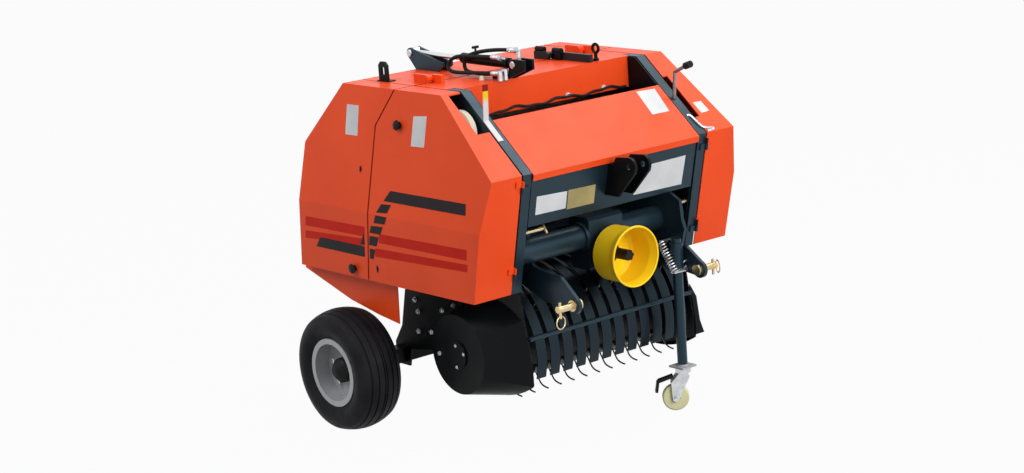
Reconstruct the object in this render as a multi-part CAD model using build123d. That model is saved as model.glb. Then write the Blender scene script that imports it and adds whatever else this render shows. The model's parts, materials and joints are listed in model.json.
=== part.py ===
from build123d import *
from math import cos, hypot, radians, sin, sqrt
import os

# Mini round baler for a small tractor: three-point mounted, two road wheels and a parking stand.
# Frame while it is drawn: +X forward to the tractor, +Y to the machine's left, +Z up, floor at Z = 0.
# Sizes are in millimetres. The last lines move the origin to the middle of the footprint.

# Clearances
FIT = 0.3
RUNNING = 0.05

# Bale chamber, its side plates and rollers; roller angles go round the chamber from the front, upwards
CHAMBER_HALF = 350.0
PLATE_T = 6.0
CHAMBER_X = -130.0
CHAMBER_Z = 765.0
BALE_R = 250.0
ROLLER_R = 38.0
ROLLER_STEP_DEG = 26.0
FRAME_ROLLER_DEG = 70.0
FRAME_ROLLERS = 5
STARTER_ROLLER_DEG = -80.0
GATE_ROLLER_DEG = 96.0
GATE_ROLLERS = 7

# Road wheels, 16x6.50-8: their tops stay just below the tailgate's skirts
TYRE_R = 203.0
TYRE_W = 164.0
TYRE_SHOULDER_Y = 12.0
TYRE_SHOULDER_Z = 16.0
TYRE_BULGE = 8.0
ARCH_Z = 406.0
AXLE_Z = ARCH_Z - TYRE_R
FLOOR_Z = AXLE_Z - TYRE_R
BEAD_Y = 65.0
RIM_R = 114.0
RIM_SEAT_R = 101.0
RIM_T = 5.0
FLANGE_T = 4.0
DISC_AT = 8.0
WHEEL_X = -244.0
WHEEL_Y = CHAMBER_HALF + 225.0
HUB_R = 40.0
HUB_HALF = 36.0
AXLE_R = 16.0
AXLE_SLEEVE = 8.0
AXLE_BEAM = 50.0
AXLE_BEAM_END = CHAMBER_HALF + 70.0

# Covers: widest at the crease, drawn in at the top
SHEET = 3.0
COVER_INNER_Y = CHAMBER_HALF + 46.0
COVER_CREASE_Y = COVER_INNER_Y + 151.0
COVER_FOOT_Y = COVER_INNER_Y + 147.0
COVER_TOP_Y = COVER_INNER_Y + 73.0
TOP_Z = 1131.0
CREASE_Z = 735.0
FOOT_Z = 510.0
NOSE_Z = 895.0
SLOPE_X = 218.0
NOSE_X = 493.0
FRONT_FOOT_X = 401.0
SEAM_TOP_X = -17.0
SEAM_MID = (-102.0, TOP_Z - 119.0)
SEAM_CREASE_X = -108.0
SEAM_FOOT_X = -139.0
SEAM_GAP = 6.5
REAR_TOP_X = -292.0
REAR_SHOULDER = (-479.0, TOP_Z - 204.0)
REAR_CREASE_X = -490.0
REAR_FOOT_X = -514.0
NOTCH_X = (222.0, 352.0)
NOTCH_W = 48.0
SLOT_X = (296.0, 440.0)
SLOT_W = 20.0

# Cover hinges: pins that stand proud of the gap between cover and frame
DOOR_HINGE_OFF = 7.0
DOOR_HINGE_R = 5.0
DOOR_PIN_R = 2.5
DOOR_KNUCKLE = 20.0
DOOR_LEAF = 26.0
FRONT_HINGE_Z = (560.0, 840.0)
REAR_HINGE_Z = (560.0, 860.0)

# Front frame
UPRIGHT_W = 34.0
UPRIGHT_DEPTH = 45.0
CHANNEL_T = 5.0
CROSS_LOW_Z = 720.0
CROSS_T = 8.0
HOOD_TOP_X = 320.0
HOOD_GAP = 3.0
HOOD_LIP = 20.0
HOOD_REACH = 5.0
INNER_WALL_X = 180.0
INNER_WALL_LOW_Z = TOP_Z - 103.0
BEAM_X = (205.0, 255.0)
BEAM_Z = (590.0, 640.0)

# Hitch
ARM_RIGHT_Y = 276.0
ARM_LEFT_Y = 254.0
ARM_T = 12.0
EYE_X = 566.0
EYE_Z = 477.0
EYE_R = 28.0
LOWER_PIN_R = 11.0
LOWER_PIN_LEN = 64.0
PIN_COLLAR = 6.0
NUT_R = 18.0
NUT_T = 13.0
EAR_Y = 30.0
EAR_T = 10.0
EAR_X = 577.0
EAR_Z = 866.0
EAR_R = 29.0
EAR_LOW_Z = 765.0
EAR_BASE_X = 520.0
TOP_BORE_R = 9.6

# Drive line
TUBE_X = 372.0
TUBE_Z = 625.0
TUBE_R = 40.0
TUBE_COLLAR_R = 48.0
TUBE_COLLAR_T = 12.0
GEARBOX_X = (320.0, 415.0)
GEARBOX_Y = 72.0
GEARBOX_Z = (520.0, 690.0)
BOSS_R = 34.0
PTO_Z = 570.0
PTO_R = 17.5
PTO_TIP_X = 520.0
PTO_DEPTH = 20.0
SPLINES = 6
SPLINE_LEN = 76.0
SPLINE_DEPTH = 2.6
SPLINE_W = 9.0
GUARD_RIM_X = 550.0
GUARD_RIM_R = 97.0
GUARD_FLARE_X = 520.0
GUARD_BACK_X = 430.0
GUARD_BACK_R = 89.0
GUARD_ROUND = 15.0
GUARD_T = 4.0

# Pickup
REEL_X = 175.0
REEL_Z = 290.0
REEL_SHAFT_R = 15.0
REEL_DRUM_R = 126.0
SPIDER_R = 140.0
SPIDER_Y = CHAMBER_HALF - 8.0
SPIDER_T = 5.0
TINE_TIP_R = 215.0
TINE_COUNT = 13
TINE_MARGIN = 8.4
TINE_PITCH = 2 * (SPIDER_Y - TINE_MARGIN) / (TINE_COUNT - 1)
TINE_R = 2.75
TINE_BARS = 4
TINE_DEG = -38.6
TINE_BAR_R = 8.0
BAR_CIRCLE_R = 130.0
DRUM_R = 130.0
DRUM_Y = CHAMBER_HALF + 96.0
DRUM_BOSS_R = 45.0
DRUM_BOSS_T = 6.0
BAND_R = 247.0
BAND_GAP = 17.6
BAND_W = TINE_PITCH - BAND_GAP
BAND_T = 3.0
BAND_START_DEG = -16.0
BAND_END_DEG = 100.0
BAND_BAR = (30.0, 14.0)
WIND_BAR_R = 7.5
WIND_BAR_DEG = 15.6
PAN_R = 229.0
PAN_START_DEG = 118.0
PAN_END_DEG = 190.0

# Parking stand: its caster is parked with the brake pedal turned in below the machine
STAND_X = 490.0
STAND_Y = ARM_LEFT_Y - 22.0
POLE_R = 16.5
POLE_Z = (FLOOR_Z + 150.0, 575.0)
SOCKET_R = POLE_R + 5.2
SOCKET_Z = (465.0, 560.0)
CASTER_TURN_DEG = 50.0
STAND_PLATE = 32.0
STAND_PLATE_T = 6.0
FORK_HEAD_R = 26.0
FORK_HEAD_T = 16.0
KING_PIN_R = 8.0
KING_NUT_R = 13.0
KING_NUT_T = 8.0
FORK_INNER = 20.0
FORK_T = 4.0
LEG_FOOT_R = 12.0
CASTER_R = 44.0
CASTER_W = 30.0
CASTER_ROUND = 6.0
CASTER_HUB_R = 12.0
CASTER_TRAIL = 28.0
CASTER_AXLE_R = 6.0

# Tailgate, its hinge and its cylinder
GATE_LOW_Z = 445.0
GATE_TAIL = [(REAR_FOOT_X, FOOT_Z), (-505.0, 486.0), (-300.0, GATE_LOW_Z)]
SKIRT_Y = CHAMBER_HALF + 156.0
SKIRT_LOW = [(-547.0, 487.0), (-296.0, 412.0), (-147.0, 384.0), (-41.0, 370.0)]
SKIRT_TOP_Z = FOOT_Z - 10.0
SKIRT_FRONT_X = -36.0
SHELF_X = (-505.0, -150.0)
HINGE_X = -14.0
HINGE_Z = TOP_Z + 15.0
HINGE_R = 11.0
HINGE_PIN_R = 6.0
HINGE_KNUCKLE = 20.0
HINGE_RIB = 14.0
HINGE_Y = CHAMBER_HALF - 26.0
HINGES = [(-HINGE_Y, 50.0), (185.0, 190.0), (HINGE_Y, 50.0)]  # (y, rib length on the frame)
GATE_RIB = 66.0
CYL_Y = -150.0
ROD_EYE = (-314.0, TOP_Z + 53.0)
CYL_BASE = (215.0, TOP_Z + 49.0)
ROD_R = 9.0
BARREL_R = 17.0
BARREL_FROM = 40.0
BARREL_TO = 274.0
ROD_FROM = 158.0
CYL_EYE_R = 17.0
CYL_PIN_R = 8.0
CYL_EYE_HALF = 13.0
LUG_T = 8.0

# Twine, tying lever and lifting points
SPOOL_X = 236.0
SPOOL_Z = TOP_Z - 121.0
SPOOL_R = 70.0
SPOOL_SHAFT_R = 6.0
SPOOL_SHAFT_OUT = 6.0
SPOOL_Y = (COVER_INNER_Y + 1.0, COVER_INNER_Y + 36.0)
LEVER_R = 6.0
LEVER_GRIP_R = 11.0
LEVER_X = 370.0
LEVER_BEND = (10.0, 88.0)  # (x, z) of each bend, from the lever's foot
LEVER_KNOB = (61.0, 111.0)
LEVER_END = (85.0, 119.0)
LIFT_EYE_X = (-207.0, -161.0)
LIFT_EYE_Y = (COVER_INNER_Y - 19.0, COVER_INNER_Y - 11.0)
LIFT_EYE_RISE = 64.0
LIFT_SLOT_DOWN = 18.0
LIFT_SLOT = (15.0, 24.0)
RING_X = 160.0
RING_Y = 230.0
RING_R = 14.0
RING_BAR_R = 5.0
RING_RISE = 41.0
RING_Z = TOP_Z + RING_RISE


def flat(points, plane_y):
    """A closed face from (x, z) corners, standing at one Y."""
    return make_face(Polyline(*[(x, plane_y, z) for x, z in points], close=True))


def sheet(points, y, thick):
    """A plate cut to an (x, z) outline, from y to y + thick."""
    return extrude(flat(points, y), amount=thick, dir=(0, 1, 0))


def bar(points, x, length):
    """A section drawn with (y, z) corners, run from x to x + length."""
    face = make_face(Polyline(*[(x, y, z) for y, z in points], close=True))
    return extrude(face, amount=length, dir=(1, 0, 0))


def block(x, y, z):
    """A box from three (low, high) pairs."""
    size = [high - low for low, high in (x, y, z)]
    middle = [(low + high) / 2 for low, high in (x, y, z)]
    return Pos(*middle) * Box(*size)


def rod(start, end, radius):
    """A round bar from one point to another."""
    line = Vector(*end) - Vector(*start)
    along = Plane(origin=start, z_dir=line)
    return along * Cylinder(radius, line.length, align=(Align.CENTER, Align.CENTER, Align.MIN))


def cross_rod(x, z, radius, y0, y1):
    """A round bar along Y."""
    return rod((x, y0, z), (x, y1, z), radius)


def inset(points, amounts):
    """Move each edge of a counterclockwise outline inwards by its own amount."""
    count = len(points)
    moved = []
    for i in range(count):
        ax, ay = points[i]
        bx, by = points[(i + 1) % count]
        length = hypot(bx - ax, by - ay)
        nx = -(by - ay) / length
        ny = (bx - ax) / length
        shift = amounts[i]
        moved.append((ax + nx * shift, ay + ny * shift, bx - ax, by - ay))
    corners = []
    for i in range(count):
        px, py, ux, uy = moved[i - 1]
        qx, qy, vx, vy = moved[i]
        along = ((qx - px) * vy - (qy - py) * vx) / (ux * vy - uy * vx)
        corners.append((px + ux * along, py + uy * along))
    return corners


def mirrored(shape):
    """The same piece on the other side of the machine."""
    return mirror(shape, about=Plane.XZ)


LEAN = (NOSE_X - FRONT_FOOT_X) / (NOSE_Z - FOOT_Z)


def front_x(z):
    """X of the leaning front face at height z."""
    return NOSE_X - (NOSE_Z - z) * LEAN


def slope_z(x):
    """Z of the sloping top-front face at x."""
    return NOSE_Z + (NOSE_X - x) * (TOP_Z - NOSE_Z) / (NOSE_X - SLOPE_X)


nodes = {}

# Covers: folded sheet, open to the inside and below

OPEN = -40.0
SEAM = SEAM_GAP / 2
COVER_SECTION = [
    (COVER_INNER_Y, FOOT_Z),
    (COVER_FOOT_Y, FOOT_Z),
    (COVER_CREASE_Y, CREASE_Z),
    (COVER_TOP_Y, TOP_Z),
    (COVER_INNER_Y, TOP_Z),
]
FRONT_SIDE = [
    (SEAM_FOOT_X + SEAM, FOOT_Z),
    (FRONT_FOOT_X, FOOT_Z),
    (NOSE_X, NOSE_Z),
    (SLOPE_X, TOP_Z),
    (SEAM_TOP_X + SEAM, TOP_Z),
    (SEAM_MID[0] + SEAM, SEAM_MID[1]),
    (SEAM_CREASE_X + SEAM, CREASE_Z),
]
REAR_SIDE = [
    (REAR_FOOT_X, FOOT_Z),
    (SEAM_FOOT_X - SEAM, FOOT_Z),
    (SEAM_CREASE_X - SEAM, CREASE_Z),
    (SEAM_MID[0] - SEAM, SEAM_MID[1]),
    (SEAM_TOP_X - SEAM, TOP_Z),
    (REAR_TOP_X, TOP_Z),
    REAR_SHOULDER,
    (REAR_CREASE_X, CREASE_Z),
]


def cover(side, side_walls):
    """A left cover: the section run along X, trimmed to the side outline and hollowed."""
    far = 700.0
    outer = bar(COVER_SECTION, -far, 2 * far) & sheet(side, 0, far)
    hollow_section = inset(COVER_SECTION, [OPEN, SHEET, SHEET, SHEET, OPEN])
    hollow_side = inset(side, side_walls)
    return outer - (bar(hollow_section, -far, 2 * far) & sheet(hollow_side, 0, far))


front_cover_left = cover(FRONT_SIDE, [OPEN, SHEET, SHEET, OPEN, OPEN, OPEN, OPEN])
rear_cover_left = cover(REAR_SIDE, [OPEN, OPEN, OPEN, OPEN, OPEN, SHEET, SHEET, SHEET])
front_cover_right = mirrored(front_cover_left)
rear_cover_right = mirrored(rear_cover_left)

# The right cover is notched beside the twine spool, the left one beside the tying lever
front_cover_right -= block(NOTCH_X, (-COVER_INNER_Y - NOTCH_W, 0), (slope_z(NOTCH_X[1]) - 30, TOP_Z + 1))
front_cover_left -= block(SLOT_X, (0, COVER_INNER_Y + SLOT_W), (slope_z(SLOT_X[1]) - 20, TOP_Z + 1))

# Hinges of the covers: a knuckle with its pin on the frame, and a knuckle above it on the cover

PANEL_HALF = COVER_INNER_Y - SEAM_GAP
DOOR_HINGE_Y = PANEL_HALF + SEAM_GAP / 2


def hinge_pair(foot, head, heights, outward):
    """Both halves of a cover's hinges on its leaning edge line; outward is +1 for the front face."""
    length = hypot(head[0] - foot[0], head[1] - foot[1])
    along = ((head[0] - foot[0]) / length, (head[1] - foot[1]) / length)
    normal = (along[1] * outward, -along[0] * outward)
    fixed = []
    moving = []
    for z in heights:
        t = (z - foot[1]) / along[1]

        def at(step, off):
            x = foot[0] + along[0] * (t + step) + normal[0] * off
            return (x, foot[1] + along[1] * (t + step) + normal[1] * off)

        def pin(low, high, radius):
            a = at(low, DOOR_HINGE_OFF)
            b = at(high, DOOR_HINGE_OFF)
            return rod((a[0], DOOR_HINGE_Y, a[1]), (b[0], DOOR_HINGE_Y, b[1]), radius)

        def leaf(low, high, y0, y1):
            corners = [at(low, -SHEET), at(high, -SHEET), at(high, DOOR_HINGE_R), at(low, DOOR_HINGE_R)]
            return sheet(corners, y0, y1 - y0)

        base = pin(0, DOOR_KNUCKLE, DOOR_HINGE_R) + pin(0, 2 * DOOR_KNUCKLE, DOOR_PIN_R)
        fixed.append(base + leaf(0, DOOR_KNUCKLE, DOOR_HINGE_Y - DOOR_LEAF, DOOR_HINGE_Y))
        low = DOOR_KNUCKLE + FIT
        high = 2 * DOOR_KNUCKLE
        upper = pin(low, high, DOOR_HINGE_R) + leaf(low, high, DOOR_HINGE_Y, DOOR_HINGE_Y + DOOR_LEAF)
        moving.append(upper - pin(low - 1, high + 1, DOOR_PIN_R + RUNNING))
    return fixed, moving


front_fixed, front_moving = hinge_pair((FRONT_FOOT_X, FOOT_Z), (NOSE_X, NOSE_Z), FRONT_HINGE_Z, 1)
rear_fixed, rear_moving = hinge_pair((REAR_FOOT_X, FOOT_Z), REAR_SHOULDER, REAR_HINGE_Z, -1)
for leaf_piece in front_moving:
    front_cover_left += leaf_piece
    front_cover_right += mirrored(leaf_piece)
for leaf_piece in rear_moving:
    rear_cover_left += leaf_piece
    rear_cover_right += mirrored(leaf_piece)
nodes["front_cover_left"] = front_cover_left
nodes["front_cover_right"] = front_cover_right
nodes["rear_cover_left"] = rear_cover_left
nodes["rear_cover_right"] = rear_cover_right

# Front frame: two channel uprights that lean back over the chamber, a cross plate and the hood

UPRIGHT_Y = CHAMBER_HALF + PLATE_T
FRONT_REGION = [
    (FRONT_FOOT_X, FOOT_Z),
    (NOSE_X, NOSE_Z),
    (SLOPE_X, TOP_Z),
    (0.0, TOP_Z),
    (0.0, FOOT_Z),
]
upright = sheet(FRONT_REGION, UPRIGHT_Y, UPRIGHT_W)
upright -= sheet(
    inset(FRONT_REGION, [UPRIGHT_DEPTH, UPRIGHT_DEPTH, OPEN, OPEN, OPEN]), UPRIGHT_Y, UPRIGHT_W
)
upright -= sheet(
    inset(FRONT_REGION, [CHANNEL_T, CHANNEL_T, CHANNEL_T, OPEN, CHANNEL_T]),
    UPRIGHT_Y + CHANNEL_T,
    UPRIGHT_W - 2 * CHANNEL_T,
)
for leaf_piece in front_fixed:
    upright += leaf_piece
nodes["upright_left"] = upright
nodes["upright_right"] = mirrored(upright)

CROSS_FACE = SHEET * sqrt(1 + LEAN**2)
CROSS_BACK = CROSS_FACE + CROSS_T
CROSS_TOP_Z = NOSE_Z - 3 * SHEET
nodes["cross_plate"] = sheet(
    [
        (front_x(CROSS_LOW_Z) - CROSS_BACK, CROSS_LOW_Z),
        (front_x(CROSS_LOW_Z) - CROSS_FACE, CROSS_LOW_Z),
        (front_x(CROSS_TOP_Z) - CROSS_FACE, CROSS_TOP_Z),
        (front_x(CROSS_TOP_Z) - CROSS_BACK, CROSS_TOP_Z),
    ],
    -CHAMBER_HALF,
    2 * CHAMBER_HALF,
)

HOOD_HALF = UPRIGHT_Y - HOOD_GAP
HOOD_NOSE = (NOSE_X + HOOD_REACH, slope_z(NOSE_X + HOOD_REACH))
HOOD_LOW_Z = HOOD_NOSE[1] - HOOD_LIP
HOOD_REGION = [
    (HOOD_TOP_X, HOOD_LOW_Z),
    (HOOD_NOSE[0] - HOOD_LIP * LEAN, HOOD_LOW_Z),
    HOOD_NOSE,
    (HOOD_TOP_X, slope_z(HOOD_TOP_X)),
]
hood = sheet(HOOD_REGION, -HOOD_HALF, 2 * HOOD_HALF)
hood -= sheet(inset(HOOD_REGION, [OPEN, SHEET, SHEET, OPEN]), -HOOD_HALF, 2 * HOOD_HALF)
nodes["hood"] = hood

# Side plates of the frame: the front half of the chamber, down to the axle and round the reel

PLATE_TOP = TOP_Z - SHEET
PLATE_OUT = CHAMBER_HALF + PLATE_T
front_edge = inset(FRONT_REGION, [SHEET, SHEET, SHEET, OPEN, OPEN])
PICKUP_EDGE = [
    (75.0, 190.0),
    (175.0, 150.0),
    (300.0, 170.0),
    (428.0, 208.0),
    (427.0, 290.0),
    (408.0, 390.0),
]
PLATE_OUTLINE = [
    (WHEEL_X - 31.0, AXLE_Z - 38.0),
    (WHEEL_X + 39.0, AXLE_Z - 38.0),
    (WHEEL_X + 54.0, AXLE_Z + 22.0),
    (-70.0, 243.0),
    (30.0, 262.0),
    *PICKUP_EDGE,
    (front_x(FOOT_Z) - 4 * SHEET, FOOT_Z),
    front_edge[1],
    front_edge[2],
    (SEAM_TOP_X + SEAM_GAP, PLATE_TOP),
    (SEAM_MID[0] + SEAM, SEAM_MID[1]),
    (SEAM_CREASE_X + SEAM, CREASE_Z),
    (SEAM_FOOT_X + SEAM, FOOT_Z),
    (SEAM_FOOT_X + SEAM, GATE_LOW_Z - 8),
    (-200.0, GATE_LOW_Z - 15),
    (WHEEL_X + 12.0, AXLE_Z + 99.0),
    (WHEEL_X - 31.0, AXLE_Z + 37.0),
]
beam_half = AXLE_BEAM / 2
side_plate = sheet(PLATE_OUTLINE, CHAMBER_HALF, PLATE_T)
side_plate -= block(
    (WHEEL_X - beam_half - FIT, WHEEL_X + beam_half + FIT),
    (CHAMBER_HALF - 1, PLATE_OUT + 1),
    (AXLE_Z - beam_half - FIT, AXLE_Z + beam_half + FIT),
)
side_plate -= cross_rod(REEL_X, REEL_Z, REEL_SHAFT_R + RUNNING, CHAMBER_HALF - 1, PLATE_OUT + 1)
nodes["side_plate_left"] = side_plate
nodes["side_plate_right"] = mirrored(side_plate)

front_beam = block(BEAM_X, (-CHAMBER_HALF, CHAMBER_HALF), BEAM_Z)
front_beam -= block(
    (BEAM_X[0] + CHANNEL_T, BEAM_X[1] - CHANNEL_T),
    (-CHAMBER_HALF - 1, CHAMBER_HALF + 1),
    (BEAM_Z[0] + CHANNEL_T, BEAM_Z[1] - CHANNEL_T),
)
nodes["front_beam"] = front_beam
nodes["inner_wall"] = block(
    (INNER_WALL_X - SHEET, INNER_WALL_X), (-CHAMBER_HALF, CHAMBER_HALF), (INNER_WALL_LOW_Z, PLATE_TOP)
)

# Top panel of the frame, with the fixed halves of the tailgate hinges on it

top_panel = block((SEAM_TOP_X + SEAM_GAP, INNER_WALL_X), (-PANEL_HALF, PANEL_HALF), (PLATE_TOP, TOP_Z))
HINGE_TOP_Z = HINGE_Z + HINGE_R
rib_side = (HINGE_KNUCKLE - HINGE_RIB) / 2
for y, rib_length in HINGES:
    top_panel += block((HINGE_X, HINGE_X + rib_length), (y + rib_side, y + rib_side + HINGE_RIB), (TOP_Z, HINGE_TOP_Z))
    top_panel += cross_rod(HINGE_X, HINGE_Z, HINGE_R, y, y + HINGE_KNUCKLE)
    top_panel += cross_rod(HINGE_X, HINGE_Z, HINGE_PIN_R, y - HINGE_KNUCKLE, y + HINGE_KNUCKLE)
for low_y in (-PANEL_HALF - 1, UPRIGHT_Y - FIT):
    top_panel -= block(
        (SLOPE_X - 2 * UPRIGHT_W - CHANNEL_T, INNER_WALL_X + 1),
        (low_y, low_y + UPRIGHT_W + FIT + 1),
        (PLATE_TOP - 1, TOP_Z + 1),
    )
nodes["top_panel"] = top_panel

# Chamber rollers: plain steel drums round the bale, some in the frame and the rest in the tailgate


def roller(angle):
    """One chamber roller between the side plates."""
    circle = BALE_R + ROLLER_R
    x = CHAMBER_X + circle * cos(radians(angle))
    z = CHAMBER_Z + circle * sin(radians(angle))
    half = CHAMBER_HALF - FIT
    return cross_rod(x, z, ROLLER_R, -half, half)


frame_angles = [FRAME_ROLLER_DEG - ROLLER_STEP_DEG * i for i in range(FRAME_ROLLERS)] + [STARTER_ROLLER_DEG]
gate_angles = [GATE_ROLLER_DEG + ROLLER_STEP_DEG * i for i in range(GATE_ROLLERS)]
nodes["frame_rollers"] = Compound([roller(angle) for angle in frame_angles])
nodes["gate_rollers"] = Compound([roller(angle) for angle in gate_angles])

# Axle: a square beam under the chamber with a round stub at each end

axle = block(
    (WHEEL_X - beam_half, WHEEL_X + beam_half),
    (-AXLE_BEAM_END, AXLE_BEAM_END),
    (AXLE_Z - beam_half, AXLE_Z + beam_half),
)
sleeve_end = WHEEL_Y - HUB_HALF - FIT
for side in (-1, 1):
    axle += cross_rod(WHEEL_X, AXLE_Z, AXLE_R, side * AXLE_BEAM_END, side * (WHEEL_Y + HUB_HALF))
    axle += cross_rod(WHEEL_X, AXLE_Z, AXLE_R + AXLE_SLEEVE, side * AXLE_BEAM_END, side * sleeve_end)
nodes["axle"] = axle

# Road wheels: a revolved tyre on a dished rim with its hub

shoulder = (TYRE_W / 2 - TYRE_SHOULDER_Y, TYRE_R - TYRE_SHOULDER_Z)
wall = (TYRE_W / 2, (RIM_R + TYRE_R) / 2 - TYRE_BULGE)
tyre_edges = [
    Line((-BEAD_Y, RIM_SEAT_R), (BEAD_Y, RIM_SEAT_R)),
    Line((BEAD_Y, RIM_SEAT_R), (BEAD_Y, RIM_R)),
    ThreePointArc((BEAD_Y, RIM_R), wall, shoulder),
    ThreePointArc(shoulder, (0, TYRE_R), (-shoulder[0], shoulder[1])),
    ThreePointArc((-shoulder[0], shoulder[1]), (-wall[0], wall[1]), (-BEAD_Y, RIM_R)),
    Line((-BEAD_Y, RIM_R), (-BEAD_Y, RIM_SEAT_R)),
]
across = Plane(origin=(0, 0, 0), x_dir=(0, 1, 0), z_dir=(1, 0, 0))
tyre = revolve(across * make_face(Curve() + tyre_edges), Axis.Y, 360)

well = RIM_SEAT_R - FIT
flange = BEAD_Y + FIT
flange_end = flange + FLANGE_T
rim = cross_rod(0, 0, well, -flange_end, flange_end)
rim += cross_rod(0, 0, RIM_R, flange, flange_end) + cross_rod(0, 0, RIM_R, -flange_end, -flange)
rim -= cross_rod(0, 0, well - RIM_T, -flange_end - 1, flange_end + 1)
rim += cross_rod(0, 0, well - RIM_T / 2, DISC_AT, DISC_AT + RIM_T)
rim += cross_rod(0, 0, HUB_R, -HUB_HALF, HUB_HALF)
rim -= cross_rod(0, 0, AXLE_R + RUNNING, -TYRE_W, TYRE_W)
wheel_place = Pos(WHEEL_X, WHEEL_Y, AXLE_Z)
nodes["tyre_left"] = wheel_place * tyre
nodes["rim_left"] = wheel_place * rim
nodes["tyre_right"] = mirrored(wheel_place * tyre)
nodes["rim_right"] = mirrored(wheel_place * rim)

# Three-point hitch: two lower arms with pins, and a pair of ears for the top link

ARM_BACK_X = BEAM_X[1]
ARM_TOP_Z = CROSS_LOW_Z + 40
ARM_LOW = [(ARM_BACK_X, 545.0), (300.0, 520.0), (430.0, 470.0), (548.0, EYE_Z - 21), (588.0, EYE_Z + 18)]
ARM_FRONT_LEFT = [(514.0, 545.0), (491.0, 549.0), (508.0, 602.0), (496.0, 636.0), (491.0, 695.0)]
ARM_FRONT_RIGHT = [(514.0, 559.0), (419.0, 569.0), (390.0, 576.0), (369.0, 592.0), (368.0, 690.0)]
ARM_TOP = [
    (front_x(CROSS_LOW_Z) - CROSS_BACK, CROSS_LOW_Z),
    (front_x(ARM_TOP_Z) - CROSS_BACK, ARM_TOP_Z),
    (ARM_BACK_X, ARM_TOP_Z),
]


def hitch_arm(front, low):
    """A lower hitch arm cut from plate, with its round eye at the front and a hole for the cross tube."""
    arm = sheet(ARM_LOW + front + ARM_TOP, low, ARM_T)
    arm += cross_rod(EYE_X, EYE_Z, EYE_R, low, low + ARM_T)
    return arm - cross_rod(TUBE_X, TUBE_Z, TUBE_R + FIT, low - 1, low + ARM_T + 1)


def hitch_pin(low):
    """A lower hitch pin with its collar outside an arm, and its nut inside."""
    base = low + ARM_T
    pin = cross_rod(EYE_X, EYE_Z, LOWER_PIN_R, base, base + LOWER_PIN_LEN)
    pin += cross_rod(EYE_X, EYE_Z, NUT_R, base, base + PIN_COLLAR)
    return [pin, cross_rod(EYE_X, EYE_Z, NUT_R, low - NUT_T, low)]


nodes["hitch_arm_left"] = hitch_arm(ARM_FRONT_LEFT, ARM_LEFT_Y)
nodes["hitch_arm_right"] = mirrored(hitch_arm(ARM_FRONT_RIGHT, ARM_RIGHT_Y))
nodes["hitch_pin_left"] = Compound(hitch_pin(ARM_LEFT_Y))
nodes["hitch_pin_right"] = Compound([mirrored(piece) for piece in hitch_pin(ARM_RIGHT_Y)])

EAR_SEAT_Z = CROSS_TOP_Z - 20
ear_outline = [
    (front_x(EAR_LOW_Z) - CROSS_FACE, EAR_LOW_Z),
    (EAR_BASE_X, EAR_LOW_Z),
    (EAR_X + EAR_R * 0.9, EAR_Z - EAR_R * 0.6),
    (EAR_X, EAR_Z + EAR_R),
    (EAR_BASE_X, EAR_Z + EAR_R - 4),
    (NOSE_X + 10, EAR_SEAT_Z),
    (front_x(EAR_SEAT_Z) - CROSS_FACE, EAR_SEAT_Z),
]
ears = []
for low in (-EAR_Y - EAR_T / 2, EAR_Y - EAR_T / 2):
    ear = sheet(ear_outline, low, EAR_T) + cross_rod(EAR_X, EAR_Z, EAR_R, low, low + EAR_T)
    ears.append(ear - cross_rod(EAR_X, EAR_Z, TOP_BORE_R, low - 1, low + EAR_T + 1))
nodes["top_link_ears"] = Compound(ears)

# Cross tube and gearbox, with the power take-off shaft in its cone guard

half_tube = cross_rod(TUBE_X, TUBE_Z, TUBE_R, GEARBOX_Y, CHAMBER_HALF)
half_tube += cross_rod(TUBE_X, TUBE_Z, TUBE_COLLAR_R, GEARBOX_Y, GEARBOX_Y + TUBE_COLLAR_T)
nodes["cross_tube"] = Compound([half_tube, mirrored(half_tube)])
BOSS_END_X = GUARD_BACK_X + GUARD_T
gearbox = block(GEARBOX_X, (-GEARBOX_Y, GEARBOX_Y), GEARBOX_Z)
gearbox = chamfer(gearbox.edges().filter_by(Axis.Y), 2 * CHANNEL_T)
gearbox += rod((GEARBOX_X[1] - 1, 0, PTO_Z), (BOSS_END_X, 0, PTO_Z), BOSS_R)
shaft_back = BOSS_END_X - PTO_DEPTH
gearbox -= rod((shaft_back - FIT, 0, PTO_Z), (GUARD_RIM_X, 0, PTO_Z), PTO_R + RUNNING)
nodes["gearbox"] = gearbox

pto_shaft = rod((shaft_back, 0, PTO_Z), (PTO_TIP_X, 0, PTO_Z), PTO_R)
for i in range(SPLINES):
    groove = block(
        (PTO_TIP_X - SPLINE_LEN, PTO_TIP_X + 1),
        (-SPLINE_W / 2, SPLINE_W / 2),
        (PTO_R - SPLINE_DEPTH, PTO_R + SPLINE_DEPTH),
    )
    pto_shaft -= Pos(0, 0, PTO_Z) * Rot(360 / SPLINES * i, 0, 0) * groove
nodes["pto_shaft"] = pto_shaft

GUARD_INNER_R = GUARD_BACK_R - GUARD_T
GUARD_SIDE = [
    (GUARD_BACK_X, BOSS_R + FIT),
    (GUARD_BACK_X, GUARD_BACK_R - GUARD_ROUND),
    (GUARD_BACK_X + GUARD_ROUND, GUARD_BACK_R),
    (GUARD_FLARE_X, GUARD_BACK_R),
    (GUARD_RIM_X, GUARD_RIM_R),
    (GUARD_RIM_X, GUARD_RIM_R - GUARD_T),
    (GUARD_FLARE_X, GUARD_INNER_R),
    (GUARD_BACK_X + GUARD_ROUND, GUARD_INNER_R),
    (GUARD_BACK_X + GUARD_T, GUARD_INNER_R - GUARD_ROUND + GUARD_T),
    (GUARD_BACK_X + GUARD_T, BOSS_R + FIT),
]
guard_face = make_face(Polyline(*[(x, 0, radius) for x, radius in GUARD_SIDE], close=True))
nodes["pto_guard"] = Pos(0, 0, PTO_Z) * revolve(guard_face, Axis.X, 360)

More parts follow.
